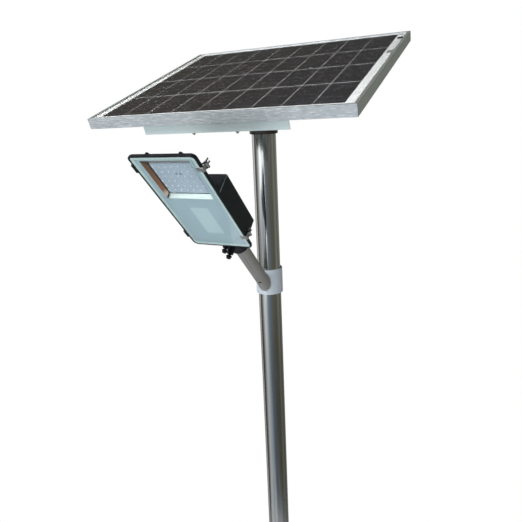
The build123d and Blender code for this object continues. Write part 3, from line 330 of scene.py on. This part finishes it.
def moulded_lens():
    """Acrylic domes on a milky plate, clear, with painted white glints near their tops."""
    shader = Shader("lens_acrylic", (0.57, 0.63, 0.73), 0.1, 0.0, HEAD)
    top = inner(HEAD, "lens_array")[1].z
    dome = shader.spread(shader.axes()[2], top - 0.0022, top - 0.0016)
    facets = shader.noise((520, 520, 520), 2)
    # Painted glint: white patches near the dome tops where the facet noise is high.
    painted_glint = shader.math("MULTIPLY", dome, shader.spread(facets, 0.44, 0.56))
    shader.tint(painted_glint, (1.0, 1.0, 1.0))
    shader.tint(shader.spread(shader.noise((300, 300, 300), 3), 0.52, 0.62, 0, 0.5), (0.74, 0.77, 0.86))
    shader.set(Transmission_Weight=0.35, IOR=1.45, Coat_Weight=1.0, Coat_Roughness=0.03)
    shader.bump(facets, 0.0006, 0.8)
    return shader.material


def solar_cell():
    """Dark silicon with printed bus bars, hair-fine fingers, random bluer patches, and browner towards the
    left end.
    """
    shader = Shader("silicon", (0.013, 0.011, 0.013), 0.28, 0.0, PANEL)
    x, y = shader.axes()[:2]
    low, high = inner(PANEL, "solar_cells")
    rows, bars = 4, 5
    pitch = (high.y - low.y) / (rows * bars)
    across = shader.math("FRACT", shader.math("DIVIDE", shader.math("SUBTRACT", y, low.y), pitch))
    off_bar = shader.math("ABSOLUTE", shader.math("SUBTRACT", across, 0.5))
    half_bar = 0.00045 / pitch
    bar = shader.math("LESS_THAN", off_bar, half_bar)
    finger = shader.math("FRACT", shader.math("DIVIDE", x, 0.0018))
    finger = shader.math("LESS_THAN", finger, 0.05)
    dash = shader.math("GREATER_THAN", shader.math("FRACT", shader.math("DIVIDE", x, 0.0132)), 0.3)
    # Browner towards the panel's left end.
    cast = shader.spread(x, -0.36, 0.3, 0.85, 0.0)
    shader.tint(cast, (0.024, 0.017, 0.011))
    blue = shader.spread(shader.noise((9, 9, 9), 2), 0.45, 0.7, 0, 0.5)
    shader.tint(blue, (0.012, 0.013, 0.022))
    shader.tint(shader.math("MULTIPLY", finger, 0.12), (0.07, 0.07, 0.075))
    shader.tint(shader.math("MULTIPLY", shader.math("MULTIPLY", bar, dash), 0.6), (0.26, 0.26, 0.265))
    shader.bump(bar, 0.0001, 0.3)
    shader.set(Coat_Weight=0.4, Coat_Roughness=0.18)
    return shader.material


def panel_backing():
    """White laminate around the cells, greyer in the gaps between them."""
    shader = Shader("white_sheet", (0.86, 0.87, 0.86), 0.4, 0.0, PANEL)
    low, high = inner(PANEL, "solar_cells")
    x, y = shader.axes()[:2]
    edge = 0.003
    between = shader.math(
        "MULTIPLY",
        shader.math("LESS_THAN", shader.math("ABSOLUTE", x), (high.x - low.x) / 2 - edge),
        shader.math("LESS_THAN", shader.math("ABSOLUTE", y), (high.y - low.y) / 2 - edge),
    )
    shader.tint(shader.spread(shader.noise((30, 30, 30), 5), 0.5, 0.75, 0, 0.35), (0.7, 0.71, 0.69))
    shader.tint(shader.math("MULTIPLY", between, 0.45), (0.2, 0.2, 0.19))
    shader.bump(shader.noise((900, 900, 900), 2), 0.00005, 0.5)
    return shader.material


def reflector_metal(name, base, far, near, along, metal=0.35):
    """Polished sheet with rolling streaks, with painted shade towards its far end and a painted highlight
    towards its near end.
    """
    shader = Shader(name, base, 0.3, metal, HEAD)
    low, high = inner(HEAD, "reflector")
    # Painted shade: darker towards the far end.
    shader.tint(shader.spread(shader.axes()[1], low.y + 0.02, high.y - 0.01), far)
    # Painted highlight: lighter towards the near end.
    shader.tint(shader.spread(shader.axes()[1], low.y + 0.03, low.y + 0.012), near)
    grain = [420.0, 420.0, 420.0]
    grain[along] = 24.0
    streaks = shader.noise(grain, 3)
    shader.tint(shader.spread(streaks, 0.5, 0.7, 0, 0.25), tuple(0.7 * channel for channel in base))
    shader.roughen(streaks, 0.22, 0.4)
    shader.set(Specular_IOR_Level=0.1 + metal)
    shader.bump(streaks, 0.0001, 0.5)
    return shader.material


def light_board():
    """White-masked aluminium board with a lavender cast and printed copper under the mask."""
    shader = Shader("board_white", (0.54, 0.6, 0.7), 0.35, 0.0, HEAD)
    distance = shader.cells((150, 150, 150))
    shader.tint(shader.spread(distance, 0.1, 0.5, 0.5, 0.0), (0.72, 0.75, 0.84))
    shader.tint(shader.spread(shader.noise((120, 120, 120), 4), 0.5, 0.7, 0, 0.5), (0.41, 0.45, 0.56))
    shader.bump(shader.noise((500, 500, 500), 2), 0.00006, 0.5)
    return shader.material


def mask_paint():
    """Satin paint on the sheet behind the lamp's glass."""
    shader = Shader("mask_paint", (0.4, 0.49, 0.56), 0.45, 0.0, HEAD)
    shader.tint(shader.spread(shader.noise((16, 16, 16), 3), 0.42, 0.7, 0, 0.5), (0.45, 0.54, 0.6))
    shader.tint(shader.spread(shader.noise((200, 200, 200), 3), 0.6, 0.7, 0, 0.2), (0.32, 0.4, 0.43))
    shader.bump(shader.noise((700, 700, 700), 2), 0.00006, 0.5)
    return shader.material


def circuit_board():
    """Green mask over a maze of copper tracks."""
    shader = Shader("circuit_board", (0.012, 0.11, 0.05), 0.3, 0.0, HEAD)
    distance = shader.cells((160, 160, 160), "DISTANCE_TO_EDGE")
    shader.tint(shader.spread(distance, 0.06, 0.1, 0.6, 0.0), (0.03, 0.2, 0.09))
    shader.bump(distance, 0.00008, 0.4)
    return shader.material


def battery_sleeve():
    """Shrink sleeve, glossy, with soft wrinkles."""
    shader = Shader("cell_wrap", (0.02, 0.12, 0.36), 0.24, 0.0, HEAD)
    shader.tint(shader.spread(shader.noise((60, 12, 60), 3), 0.5, 0.7, 0, 0.4), (0.05, 0.2, 0.46))
    shader.bump(shader.noise((120, 14, 120), 3), 0.0003, 0.5)
    return shader.material


BLACK = (0.0052, 0.0065, 0.0095)
MATERIALS = {
    "galvanised": galvanised(),
    "pole_steel": polished_pole(),
    "socket_steel": painted("socket_steel", (0.035, 0.024, 0.018), 0.35, (0.09, 0.07, 0.055)),
    "bracket_steel": zinc_plate("bracket_steel"),
    "fastener_steel": zinc_plate("fastener_steel", (0.66, 0.65, 0.62)),
    "black_rubber": moulded("black_rubber", (0.015, 0.015, 0.015), 0.75),
    "collar_paint": painted("collar_paint", (0.6, 0.66, 0.71), 0.45, (0.52, 0.56, 0.58)),
    "arm_paint": painted("arm_paint", (0.32, 0.31, 0.29), 0.55, (0.38, 0.365, 0.34), gloss=0.25),
    "rack_aluminium": drawn_metal(
        "rack_aluminium", (0.78, 0.88, 0.86), 0.6, 0, PANEL, 0.15, (0.7, 0.8, 0.79), 0.3
    ),
    "frame_aluminium": drawn_metal(
        "frame_aluminium", (0.545, 0.58, 0.59), 0.52, 0, PANEL, 0.9, (0.47, 0.5, 0.51), 0.55
    ),
    "frame_side": drawn_metal(
        "frame_side", (0.5, 0.52, 0.48), 0.45, 1, PANEL, 0.2, (0.4, 0.42, 0.39), 0.6
    ),
    "panel_glass": glass("panel_glass", (0.98, 0.99, 0.99), 0.01, PANEL, 0.02, 0.08),
    "silicon": solar_cell(),
    "white_sheet": panel_backing(),
    "black_plastic": moulded("black_plastic", (0.02, 0.02, 0.021), 0.45),
    # The lamp box's paint, with a painted highlight along its two far corners.
    "black_casting": painted(
        "black_casting", BLACK, 0.36, (0.011, 0.013, 0.018), HEAD, gloss=0.22, corner_highlight=painted_corner_highlight
    ),
    "lamp_glass": glass("lamp_glass", (0.9, 0.97, 0.95), 0.03, HEAD, 0.06, 0.15),
    "mask_paint": mask_paint(),
    "reflector_sheet": reflector_metal(
        "reflector_sheet", (0.64, 0.69, 0.66), (0.24, 0.16, 0.1), (0.92, 0.98, 0.96), 0
    ),
    # A darker, browner copy of the reflector finish for the left sheet: painted shade and reflection.
    "reflector_shaded_copy": reflector_metal(
        "reflector_shaded_copy", (0.3, 0.1, 0.045), (0.15, 0.08, 0.035), (0.62, 0.5, 0.42), 1, 0.0
    ),
    "board_white": light_board(),
    "phosphor": moulded("phosphor", (0.9, 0.9, 0.84), 0.3, 2500.0),
    "lens_acrylic": moulded_lens(),
    "spreader_aluminium": drawn_metal("spreader_aluminium", (0.7, 0.7, 0.72), 0.35, 0, HEAD),
    "cell_wrap": battery_sleeve(),
    "strap_nylon": moulded("strap_nylon", (0.03, 0.03, 0.03), 0.7, 1400.0, HEAD),
    "brass": drawn_metal("brass", (0.72, 0.55, 0.25), 0.3, 2, HEAD, 0.0, (0.5, 0.38, 0.18)),
    "circuit_board": circuit_board(),
    "component_black": moulded("component_black", (0.03, 0.03, 0.032), 0.35, 1200.0),
    "terminal_green": moulded("terminal_green", (0.03, 0.3, 0.14), 0.4, 1200.0),
    "stainless": drawn_metal("stainless", (0.56, 0.54, 0.52), 0.3, 1, HEAD),
}
OWN_FINISH = {
    "frame_left": "frame_side",
    "frame_right": "frame_side",
    "clamp_bolts": "black_casting",
    "mask_screws": "mask_paint",
}
SLOTS = {item["node"]: item["material_slot"] for item in frame["record"]["subparts"]}


def finish_nodes():
    for name, node in NODES.items():
        material = MATERIALS[OWN_FINISH.get(name, SLOTS[name])]
        node.data.materials.clear()
        node.data.materials.append(material)
    NODES["lens_array"].visible_shadow = False


# ---- softened edges on the CAD nodes ---------------------------------------------------------
EDGE_ROUNDING = {
    "base_plate": 2.0, "base_gussets": 1.0, "pole_tube": 0.6, "socket_cap": 0.8, "tilt_yoke": 0.8,
    "tilt_plates": 0.8, "arm_collar": 0.7, "arm_tube": 0.4, "front_rail": 0.5, "rear_rail": 0.5,
    "cross_members": 0.5, "frame_front": 0.5, "frame_rear": 0.5, "frame_left": 0.5,
    "frame_right": 0.5, "lamp_housing": 0.8, "cover_frame": 0.8, "lamp_spigot": 0.8,
    "clamp_bolts": 0.5, "socket_bolts": 0.5, "collar_bolts": 0.5, "pivot_bolt": 0.5,
    "lock_bolt": 0.5, "pivot_nut": 0.5, "lock_nut": 0.5, "rack_bolts": 0.3, "rack_nuts": 0.3,
    "upper_latch": 0.3, "lower_latch": 0.3, "latch_strikes": 0.2, "junction_box": 0.5,
    "terminal_block": 0.3, "battery_tray": 0.4, "mask_sheet": 0.2,
}
MERGE = 1e-6


def round_edges():
    for name, width in EDGE_ROUNDING.items():
        node = NODES[name]
        weld = node.modifiers.new("weld", "WELD")
        weld.merge_threshold = MERGE
        bevel = node.modifiers.new("bevel", "BEVEL")
        bevel.width = width * MM
        bevel.segments = 2
        bevel.limit_method = "ANGLE"
        bevel.angle_limit = radians(35)
        bevel.use_clamp_overlap = True
        bevel.harden_normals = False


# ---- mesh helpers ----------------------------------------------------------------------------


def new_piece(name, mesh, body, slot, material=None):
    piece = bpy.data.objects.new(name, mesh)
    bpy.context.scene.collection.objects.link(piece)
    piece.data.materials.append(material or MATERIALS[slot])
    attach(piece, body)
    return piece


def rounded_outline(half_w, half_l, corner, steps=8):
    points = []
    for turn, (sx, sy) in enumerate(((1, 1), (-1, 1), (-1, -1), (1, -1))):
        for step in range(steps + 1):
            angle = (turn + step / steps) * pi / 2
            x = sx * (half_w - corner) + corner * cos(angle)
            y = sy * (half_l - corner) + corner * sin(angle)
            points.append((x, y))
    return points


def slab_mesh(name, outline, z_low, z_high, bevel, place, hole=None):
    """A plate with an eased edge, optionally a ring, in one of the tilted frames."""
    mesh = bmesh.new()

    def loop(points, z):
        return [mesh.verts.new(place @ Vector((x, y, z))) for x, y in points]

    def eased(points, inward):
        low_x, high_x = min(x for x, y in points), max(x for x, y in points)
        low_y, high_y = min(y for x, y in points), max(y for x, y in points)
        mid_x, mid_y = (low_x + high_x) / 2, (low_y + high_y) / 2
        scale_x = 1 - 2 * inward / (high_x - low_x)
        scale_y = 1 - 2 * inward / (high_y - low_y)
        return [(mid_x + (x - mid_x) * scale_x, mid_y + (y - mid_y) * scale_y) for x, y in points]

    def side(points, inward):
        eased_points = eased(points, inward)
        return [
            loop(eased_points, z_low),
            loop(points, z_low + abs(inward)),
            loop(points, z_high - abs(inward)),
            loop(eased_points, z_high),
        ]

    def skin(loops, flip):
        for first, second in zip(loops, loops[1:]):
            for index in range(len(first)):
                nxt = (index + 1) % len(first)
                quad = [first[index], first[nxt], second[nxt], second[index]]
                mesh.faces.new(quad[::-1] if flip else quad)

    outer = side(outline, bevel)
    skin(outer, False)
    if hole is None:
        mesh.faces.new(outer[0][::-1])
        mesh.faces.new(outer[-1])
    else:
        inside = side(hole, -bevel)
        skin(inside, True)
        for index in range(len(outline)):
            nxt = (index + 1) % len(outline)
            mesh.faces.new([outer[-1][index], outer[-1][nxt], inside[-1][nxt], inside[-1][index]])
            mesh.faces.new([inside[0][index], inside[0][nxt], outer[0][nxt], outer[0][index]])
    result = bpy.data.meshes.new(name)
    mesh.to_mesh(result)
    mesh.free()
    return result


def bead_mesh(name, points, radius, closed=True, ripple=0.18, pitch=0.0035, sides=10):
    """A weld bead along a line of points, swelling and shrinking as it was laid."""
    mesh = bmesh.new()
    rings = []
    run = 0.0
    count = len(points)
    for index, point in enumerate(points):
        ahead = points[(index + 1) % count] if closed or index + 1 < count else point
        behind = points[index - 1] if closed or index else point
        tangent = (ahead - behind).normalized()
        side = tangent.cross(Vector((0, 0.3, 1))).normalized()
        up = side.cross(tangent)
        swell = radius * (1 + ripple * abs(sin(pi * run / pitch)) - ripple)
        ring = []
        for step in range(sides):
            angle = 2 * pi * step / sides
            ring.append(mesh.verts.new(point + swell * (cos(angle) * side + sin(angle) * up)))
        rings.append(ring)
        run += (ahead - point).length
    last = count if closed else count - 1
    for index in range(last):
        first, second = rings[index], rings[(index + 1) % count]
        for step in range(sides):
            nxt = (step + 1) % sides
            mesh.faces.new([first[step], first[nxt], second[nxt], second[step]])
    if not closed:
        mesh.faces.new(rings[0][::-1])
        mesh.faces.new(rings[-1])
    bmesh.ops.recalc_face_normals(mesh, faces=mesh.faces)
    result = bpy.data.meshes.new(name)
    mesh.to_mesh(result)
    mesh.free()
    for polygon in result.polygons:
        polygon.use_smooth = True
    return result


# ---- pieces that stand for CAD nodes or add to them ------------------------------------------


def panel_glazing():
    """The solar glass, a hair thinner than its node so that it never meets the cells."""
    low, high = inner(PANEL, "panel_glass")
    half_w, half_l = (high.x - low.x) / 2 - 0.0002, (high.y - low.y) / 2 - 0.0002
    outline = [(half_w, half_l), (-half_w, half_l), (-half_w, -half_l), (half_w, -half_l)]
    mesh = slab_mesh("solar_glass", outline, low.z + 0.0002, high.z - 0.0002, 0.0004, PANEL)
    piece = new_piece("solar_glass", mesh, "panel", "panel_glass")
    piece.visible_shadow = False
    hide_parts("panel_glass")


def lamp_glazing():
    """The cover's glass with a printed border on its back."""
    low, high = inner(HEAD, "cover_glass")
    half_w, half_l = (high.x - low.x) / 2 - 0.0003, (high.y - low.y) / 2 - 0.0003
    corner = 0.0092
    outline = rounded_outline(half_w, half_l, corner)
    mesh = slab_mesh("cover_pane", outline, low.z + 0.0003, high.z - 0.0001, 0.0005, HEAD)
    piece = new_piece("cover_pane", mesh, "cover", "lamp_glass")
    piece.visible_shadow = False
    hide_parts("cover_glass")
    border = 0.0085
    hole = rounded_outline(half_w - border, half_l - border, corner / 2)
    mesh = slab_mesh("printed_border", outline, low.z + 0.00005, low.z + 0.0002, 0.00003, HEAD, hole)
    ceramic = moulded("border_print", (0.58, 0.68, 0.68), 0.5, 900.0, HEAD, (0.64, 0.72, 0.72))
    new_piece("printed_border", mesh, "cover", "lamp_glass", ceramic)


def reflector_sheets():
    """Four sloping sheets round the light window, with open seams at the corners."""
    low, high = inner(HEAD, "reflector")
    board_low, board_high = inner(HEAD, "led_board")
    gap_x, gap_y, seam, thick = 0.0048, 0.0022, 0.0012, 0.0006
    back, front = board_high.z + 0.0024, high.z - 0.0002
    narrow = ((board_high.x - board_low.x) / 2 + gap_x, (board_high.y - board_low.y) / 2 + gap_y)
    wide = ((high.x - low.x) / 2 - 0.0003, (high.y - low.y) / 2 - 0.0003)
    narrow_middle = (board_low + board_high) / 2
    wide_middle = (low + high) / 2
    sides = {"left": (-1, 0), "right": (1, 0), "far": (0, 1), "near": (0, -1)}
    for name, (sx, sy) in sides.items():
        across = 1 if sx else 0
        pieces = []
        for half, centre, z in ((narrow, narrow_middle, back), (wide, wide_middle, front)):
            middle = Vector((centre.x, centre.y, z))
            ends = half[across] - seam
            for end in (-ends, ends):
                offset = (sx * half[0], end, 0) if sx else (end, sy * half[1], 0)
                pieces.append(middle + Vector(offset))
        # The left sheet takes the copy with painted shade and reflection.
        material = MATERIALS["reflector_shaded_copy" if name == "left" else "reflector_sheet"]
        mesh = folded_sheet("reflector_" + name, pieces, Vector((sx, sy, 0)), thick)
        piece = new_piece("reflector_" + name, mesh, "lamp", "reflector_sheet", material)
        if name == "left":
            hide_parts("reflector")


def folded_sheet(name, corners, outward, thick):
    """A thin closed sheet between two edges, slightly dished."""
    steps_long, steps_deep = 24, 8
    mesh = bmesh.new()
    start_a, end_a, start_b, end_b = corners
    back = outward * thick
    grids = []
    for layer in (Vector((0, 0, 0)), back):
        grid = []
        for row in range(steps_deep + 1):
            share = row / steps_deep
            dish = outward * (0.0007 * sin(pi * share))
            line = []
            for column in range(steps_long + 1):
                run = column / steps_long
                near = start_a.lerp(end_a, run)
                far = start_b.lerp(end_b, run)
                line.append(mesh.verts.new(HEAD @ (near.lerp(far, share) + dish + layer)))
            grid.append(line)
        grids.append(grid)
    for grid in grids:
        for row in range(steps_deep):
            for column in range(steps_long):
                a, b = grid[row][column], grid[row][column + 1]
                mesh.faces.new([a, b, grid[row + 1][column + 1], grid[row + 1][column]])
    front, rear = grids
    rim = (
        [(0, column) for column in range(steps_long)]
        + [(row, steps_long) for row in range(steps_deep)]
        + [(steps_deep, column) for column in range(steps_long, 0, -1)]
        + [(row, 0) for row in range(steps_deep, 0, -1)]
    )
    for index, (row, column) in enumerate(rim):
        next_row, next_column = rim[(index + 1) % len(rim)]
        mesh.faces.new([
            front[row][column], front[next_row][next_column],
            rear[next_row][next_column], rear[row][column],
        ])
    bmesh.ops.recalc_face_normals(mesh, faces=mesh.faces)
    result = bpy.data.meshes.new(name)
    mesh.to_mesh(result)
    mesh.free()
    for polygon in result.polygons:
        polygon.use_smooth = len(polygon.vertices) == 4
    return result


def blank_label():
    """A plain sticker on the mask sheet."""
    top = inner(HEAD, "mask_sheet")[1].z
    centre_x, centre_y = 0.005, -0.066
    outline = [(centre_x + x, centre_y + y) for x, y in rounded_outline(0.026, 0.056, 0.003, 4)]
    mesh = slab_mesh("blank_label", outline, top + 0.00002, top + 0.0002, 0.00004, HEAD)
    paper = moulded("label_paper", (0.53, 0.64, 0.69), 0.5, 1500.0, HEAD, (0.57, 0.67, 0.72))
    new_piece("blank_label", mesh, "lamp", "mask_paint", paper)


def panel_stickers():
    """Two small blank stickers on the solar glass beside the cells."""
    glass_high = inner(PANEL, "panel_glass")[1]
    cells_edge = inner(PANEL, "solar_cells")[1].x
    middle = (cells_edge + glass_high.x) / 2
    half_w = (glass_high.x - cells_edge) * 0.27
    stickers = (("rating_sticker", 0.262, 0.011, 0.03), ("batch_sticker", 0.105, 0.015, 0.3))
    for name, y, half_l, tone in stickers:
        outline = [(middle + x, y + across) for x, across in rounded_outline(half_w, half_l, 0.002, 4)]
        top = glass_high.z
        mesh = slab_mesh(name, outline, top + 0.00005, top + 0.0002, 0.00004, PANEL)
        paper = moulded(name, (tone, tone, tone * 1.05), 0.5, 1500.0, PANEL, (tone + 0.06,) * 3)
        new_piece(name, mesh, "panel", "panel_glass", paper)


def board_chips():
    """Two small dark pegs on the lens plate between the rows of domes."""
    low, high = inner(HEAD, "lens_array")
    middle_y = (low.y + high.y) / 2 + 0.0172
    plate = high.z - 0.0024
    for index, x in enumerate((0.0, 0.012)):
        outline = [(x + dx, middle_y + dy) for dx, dy in rounded_outline(0.0028, 0.0013, 0.0003, 3)]
        name = "board_chip_" + "ab"[index]
        mesh = slab_mesh(name, outline, plate + 0.00002, plate + 0.0008, 0.0001, HEAD)
        new_piece(name, mesh, "lamp", "component_black")


def foot_weld():
    """The bead round the pole's foot."""
    low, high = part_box("pole_tube")
    radius = high.x
    ring = [
        Vector((radius * cos(2 * pi * step / 240), radius * sin(2 * pi * step / 240), low.z))
        for step in range(240)
    ]
    new_piece("foot_weld", bead_mesh("foot_weld", ring, 0.0035), "pole", "galvanised")


def arm_weld():
    """The bead where the arm meets its collar."""
    collar_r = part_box("arm_collar")[1].x
    arm_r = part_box("arm_tube")[1].x
    outward = Vector(JOINTS["lamp_roll"]["axis"]).normalized()
    through = Vector(JOINTS["lamp_roll"]["pos_m"])
    level = Vector((0, -outward.z, outward.y))
    root = through - outward * (through.y / outward.y)
    points = []
    for step in range(160):
        angle = 2 * pi * step / 160
        offset = arm_r * (cos(angle) * Vector((1, 0, 0)) + sin(angle) * level)
        reach = (-sqrt(collar_r**2 - offset.x**2) - offset.y) / outward.y
        point = root + offset + outward * reach
        points.append(point)
    mesh = bead_mesh("arm_weld", points, 0.0028)
    new_piece("arm_weld", mesh, "arm", "arm_paint")


# ---- set, light and camera -------------------------------------------------------------------
SENSOR = 36.0
FOCAL = 34.724
CAMERA_AT = (0.6933, -1.4740, 2.9336)
CAMERA_AZIMUTH = radians(26.1)
CAMERA_PITCH = radians(15.3)
CAMERA_ROLL = radians(2.5)


def camera():
    data = bpy.data.cameras.new("camera")
    data.sensor_width = SENSOR
    data.lens = FOCAL
    data.clip_end = 200
    thing = bpy.data.objects.new("camera", data)
    bpy.context.scene.collection.objects.link(thing)
    turn, fall, roll = CAMERA_AZIMUTH, CAMERA_PITCH, CAMERA_ROLL
    forward = Vector((-sin(turn) * cos(fall), cos(turn) * cos(fall), -sin(fall)))
    right = Vector((cos(turn), sin(turn), 0))
    down = forward.cross(right)
    across = cos(roll) * right + sin(roll) * down
    below = cos(roll) * down - sin(roll) * right
    basis = Matrix((across, -below, -forward)).transposed()
    thing.matrix_world = Matrix.Translation(CAMERA_AT) @ basis.to_4x4()
    bpy.context.scene.camera = thing


FLOOR_RADIUS = 1.45


def floor():
    mesh = bmesh.new()
    bmesh.ops.create_circle(mesh, cap_ends=True, segments=128, radius=FLOOR_RADIUS)
    data = bpy.data.meshes.new("floor")
    mesh.to_mesh(data)
    mesh.free()
    thing = bpy.data.objects.new("floor", data)
    bpy.context.scene.collection.objects.link(thing)
    shader = Shader("floor", (0.9, 0.9, 0.9), 0.8)
    shader.tint(shader.spread(shader.noise((3, 3, 3), 4), 0.4, 0.7, 0, 0.2), (0.87, 0.87, 0.87))
    data.materials.append(shader.material)


LOW_WALLS = (0.6, 0.6, 0.6)
FRONT_GROUND = (0.58, 0.65, 0.72)
BACK_GROUND = (0.16, 0.18, 0.2)
FRONT_SKY = (0.42, 0.44, 0.48)
BACK_SKY = (0.055, 0.054, 0.051)
# (turn about Z as a share of a circle from -X, brightness) of the room's walls
WALLS = [
    (0.0, (0.1, 0.1, 0.1)),
    (0.03, (0.09, 0.09, 0.085)),
    (0.06, (0.12, 0.12, 0.12)),
    (0.097, (0.45, 0.48, 0.5)),
    (0.139, (0.95, 1.0, 1.05)),
    (0.189, (0.75, 0.8, 0.86)),
    (0.228, (0.5, 0.6, 0.7)),
    (0.278, (0.2, 0.28, 0.36)),
    (0.333, (0.17, 0.2, 0.24)),
    (0.403, (0.14, 0.14, 0.12)),
    (0.5, (0.12, 0.12, 0.1)),
    (0.561, (0.27, 0.27, 0.23)),
    (0.611, (0.14, 0.14, 0.12)),
    (0.708, (0.28, 0.32, 0.28)),
    (0.778, (0.2, 0.21, 0.2)),
    (0.833, (0.1, 0.1, 0.1)),
    (1.0, (0.1, 0.1, 0.1)),
]


def world():
    """A pale room: white to the camera, with darker walls for polished metal to reflect."""
    scene = bpy.context.scene
    scene.world = bpy.data.worlds.new("room")
    scene.world.use_nodes = True
    tree = scene.world.node_tree
    tree.nodes.clear()
    output = tree.nodes.new("ShaderNodeOutputWorld")
    mix = tree.nodes.new("ShaderNodeMixShader")
    seen = tree.nodes.new("ShaderNodeBackground")
    felt = tree.nodes.new("ShaderNodeBackground")
    path = tree.nodes.new("ShaderNodeLightPath")
    coordinates = tree.nodes.new("ShaderNodeTexCoord")
    gradient = tree.nodes.new("ShaderNodeTexGradient")
    gradient.gradient_type = "RADIAL"
    ramp = tree.nodes.new("ShaderNodeValToRGB")
    axes = tree.nodes.new("ShaderNodeSeparateXYZ")
    link(tree, coordinates, "Generated", gradient, "Vector")
    link(tree, coordinates, "Generated", axes, "Vector")
    link(tree, gradient, "Fac", ramp, "Fac")
    colours = ramp.color_ramp
    for place, value in WALLS:
        stop = colours.elements.new(place)
        stop.color = (*value, 1)
    colours.elements.remove(colours.elements[0])
    colours.elements.remove(colours.elements[-1])

    def share(axis, start, end):
        node = tree.nodes.new("ShaderNodeMapRange")
        node.inputs["From Min"].default_value = start
        node.inputs["From Max"].default_value = end
        link(tree, axes, axis, node, "Value")
        return node.outputs["Result"]

    def layer(factor, under, over, blend="MIX"):
        node = tree.nodes.new("ShaderNodeMix")
        node.data_type = "RGBA"
        node.blend_type = blend
        tree.links.new(factor, node.inputs["Factor"])
        for socket, value in ((node.inputs["A"], under), (node.inputs["B"], over)):
            if isinstance(value, tuple):
                socket.default_value = (*value, 1)
            else:
                tree.links.new(value, socket)
        return node.outputs["Result"]

    low_walls = layer(share("Z", -0.12, -0.34), ramp.outputs["Color"], LOW_WALLS, "MULTIPLY")
    ground = layer(share("Y", -0.35, 0.0), FRONT_GROUND, BACK_GROUND)
    ground = layer(share("Z", -0.63, -0.74), low_walls, ground)
    sky = layer(share("Y", -0.3, 0.2), FRONT_SKY, BACK_SKY)
    tree.links.new(layer(share("Z", 0.25, 0.45), ground, sky), felt.inputs["Color"])
    seen.inputs["Color"].default_value = (1, 1, 1, 1)
    seen.inputs["Strength"].default_value = 1.0
    felt.inputs["Strength"].default_value = 1.0
    link(tree, path, "Is Camera Ray", mix, 0)
    tree.links.new(felt.outputs[0], mix.inputs[1])
    tree.links.new(seen.outputs[0], mix.inputs[2])
    tree.links.new(mix.outputs[0], output.inputs["Surface"])


def area_light(name, place, target, size, power, colour=(1, 1, 1)):
    data = bpy.data.lights.new(name, "AREA")
    data.shape = "DISK"
    data.size = size
    data.energy = power
    data.color = colour
    thing = bpy.data.objects.new(name, data)
    bpy.context.scene.collection.objects.link(thing)
    thing.location = place
    thing.rotation_euler = (Vector(target) - Vector(place)).to_track_quat("-Z", "Y").to_euler()
    return thing


def lights():
    """Soft lamps, and a window that only polished surfaces show."""
    area_light("key", (-1.8, -2.6, 5.2), (0, 0, 3.0), 1.8, 120)
    low = area_light("low", (-0.9, -2.6, 1.2), (0, -0.42, 2.74), 1.2, 12)
    fill = area_light("fill", (2.2, -2.4, 2.6), (0, -0.1, 2.6), 1.6, 30)
    low.visible_glossy = False
    fill.visible_glossy = False
    window = area_light("window", (-0.4, -3.0, 3.05), (0, 0, 2.9), 2.6, 12)
    window.data.shape = "RECTANGLE"
    window.data.size_y = 1.2
    window.visible_diffuse = False


bpy.context.scene.view_settings.view_transform = "Standard"
finish_nodes()
round_edges()
panel_glazing()
lamp_glazing()
reflector_sheets()
blank_label()
panel_stickers()
board_chips()
foot_weld()
arm_weld()
floor()
world()
lights()
camera()
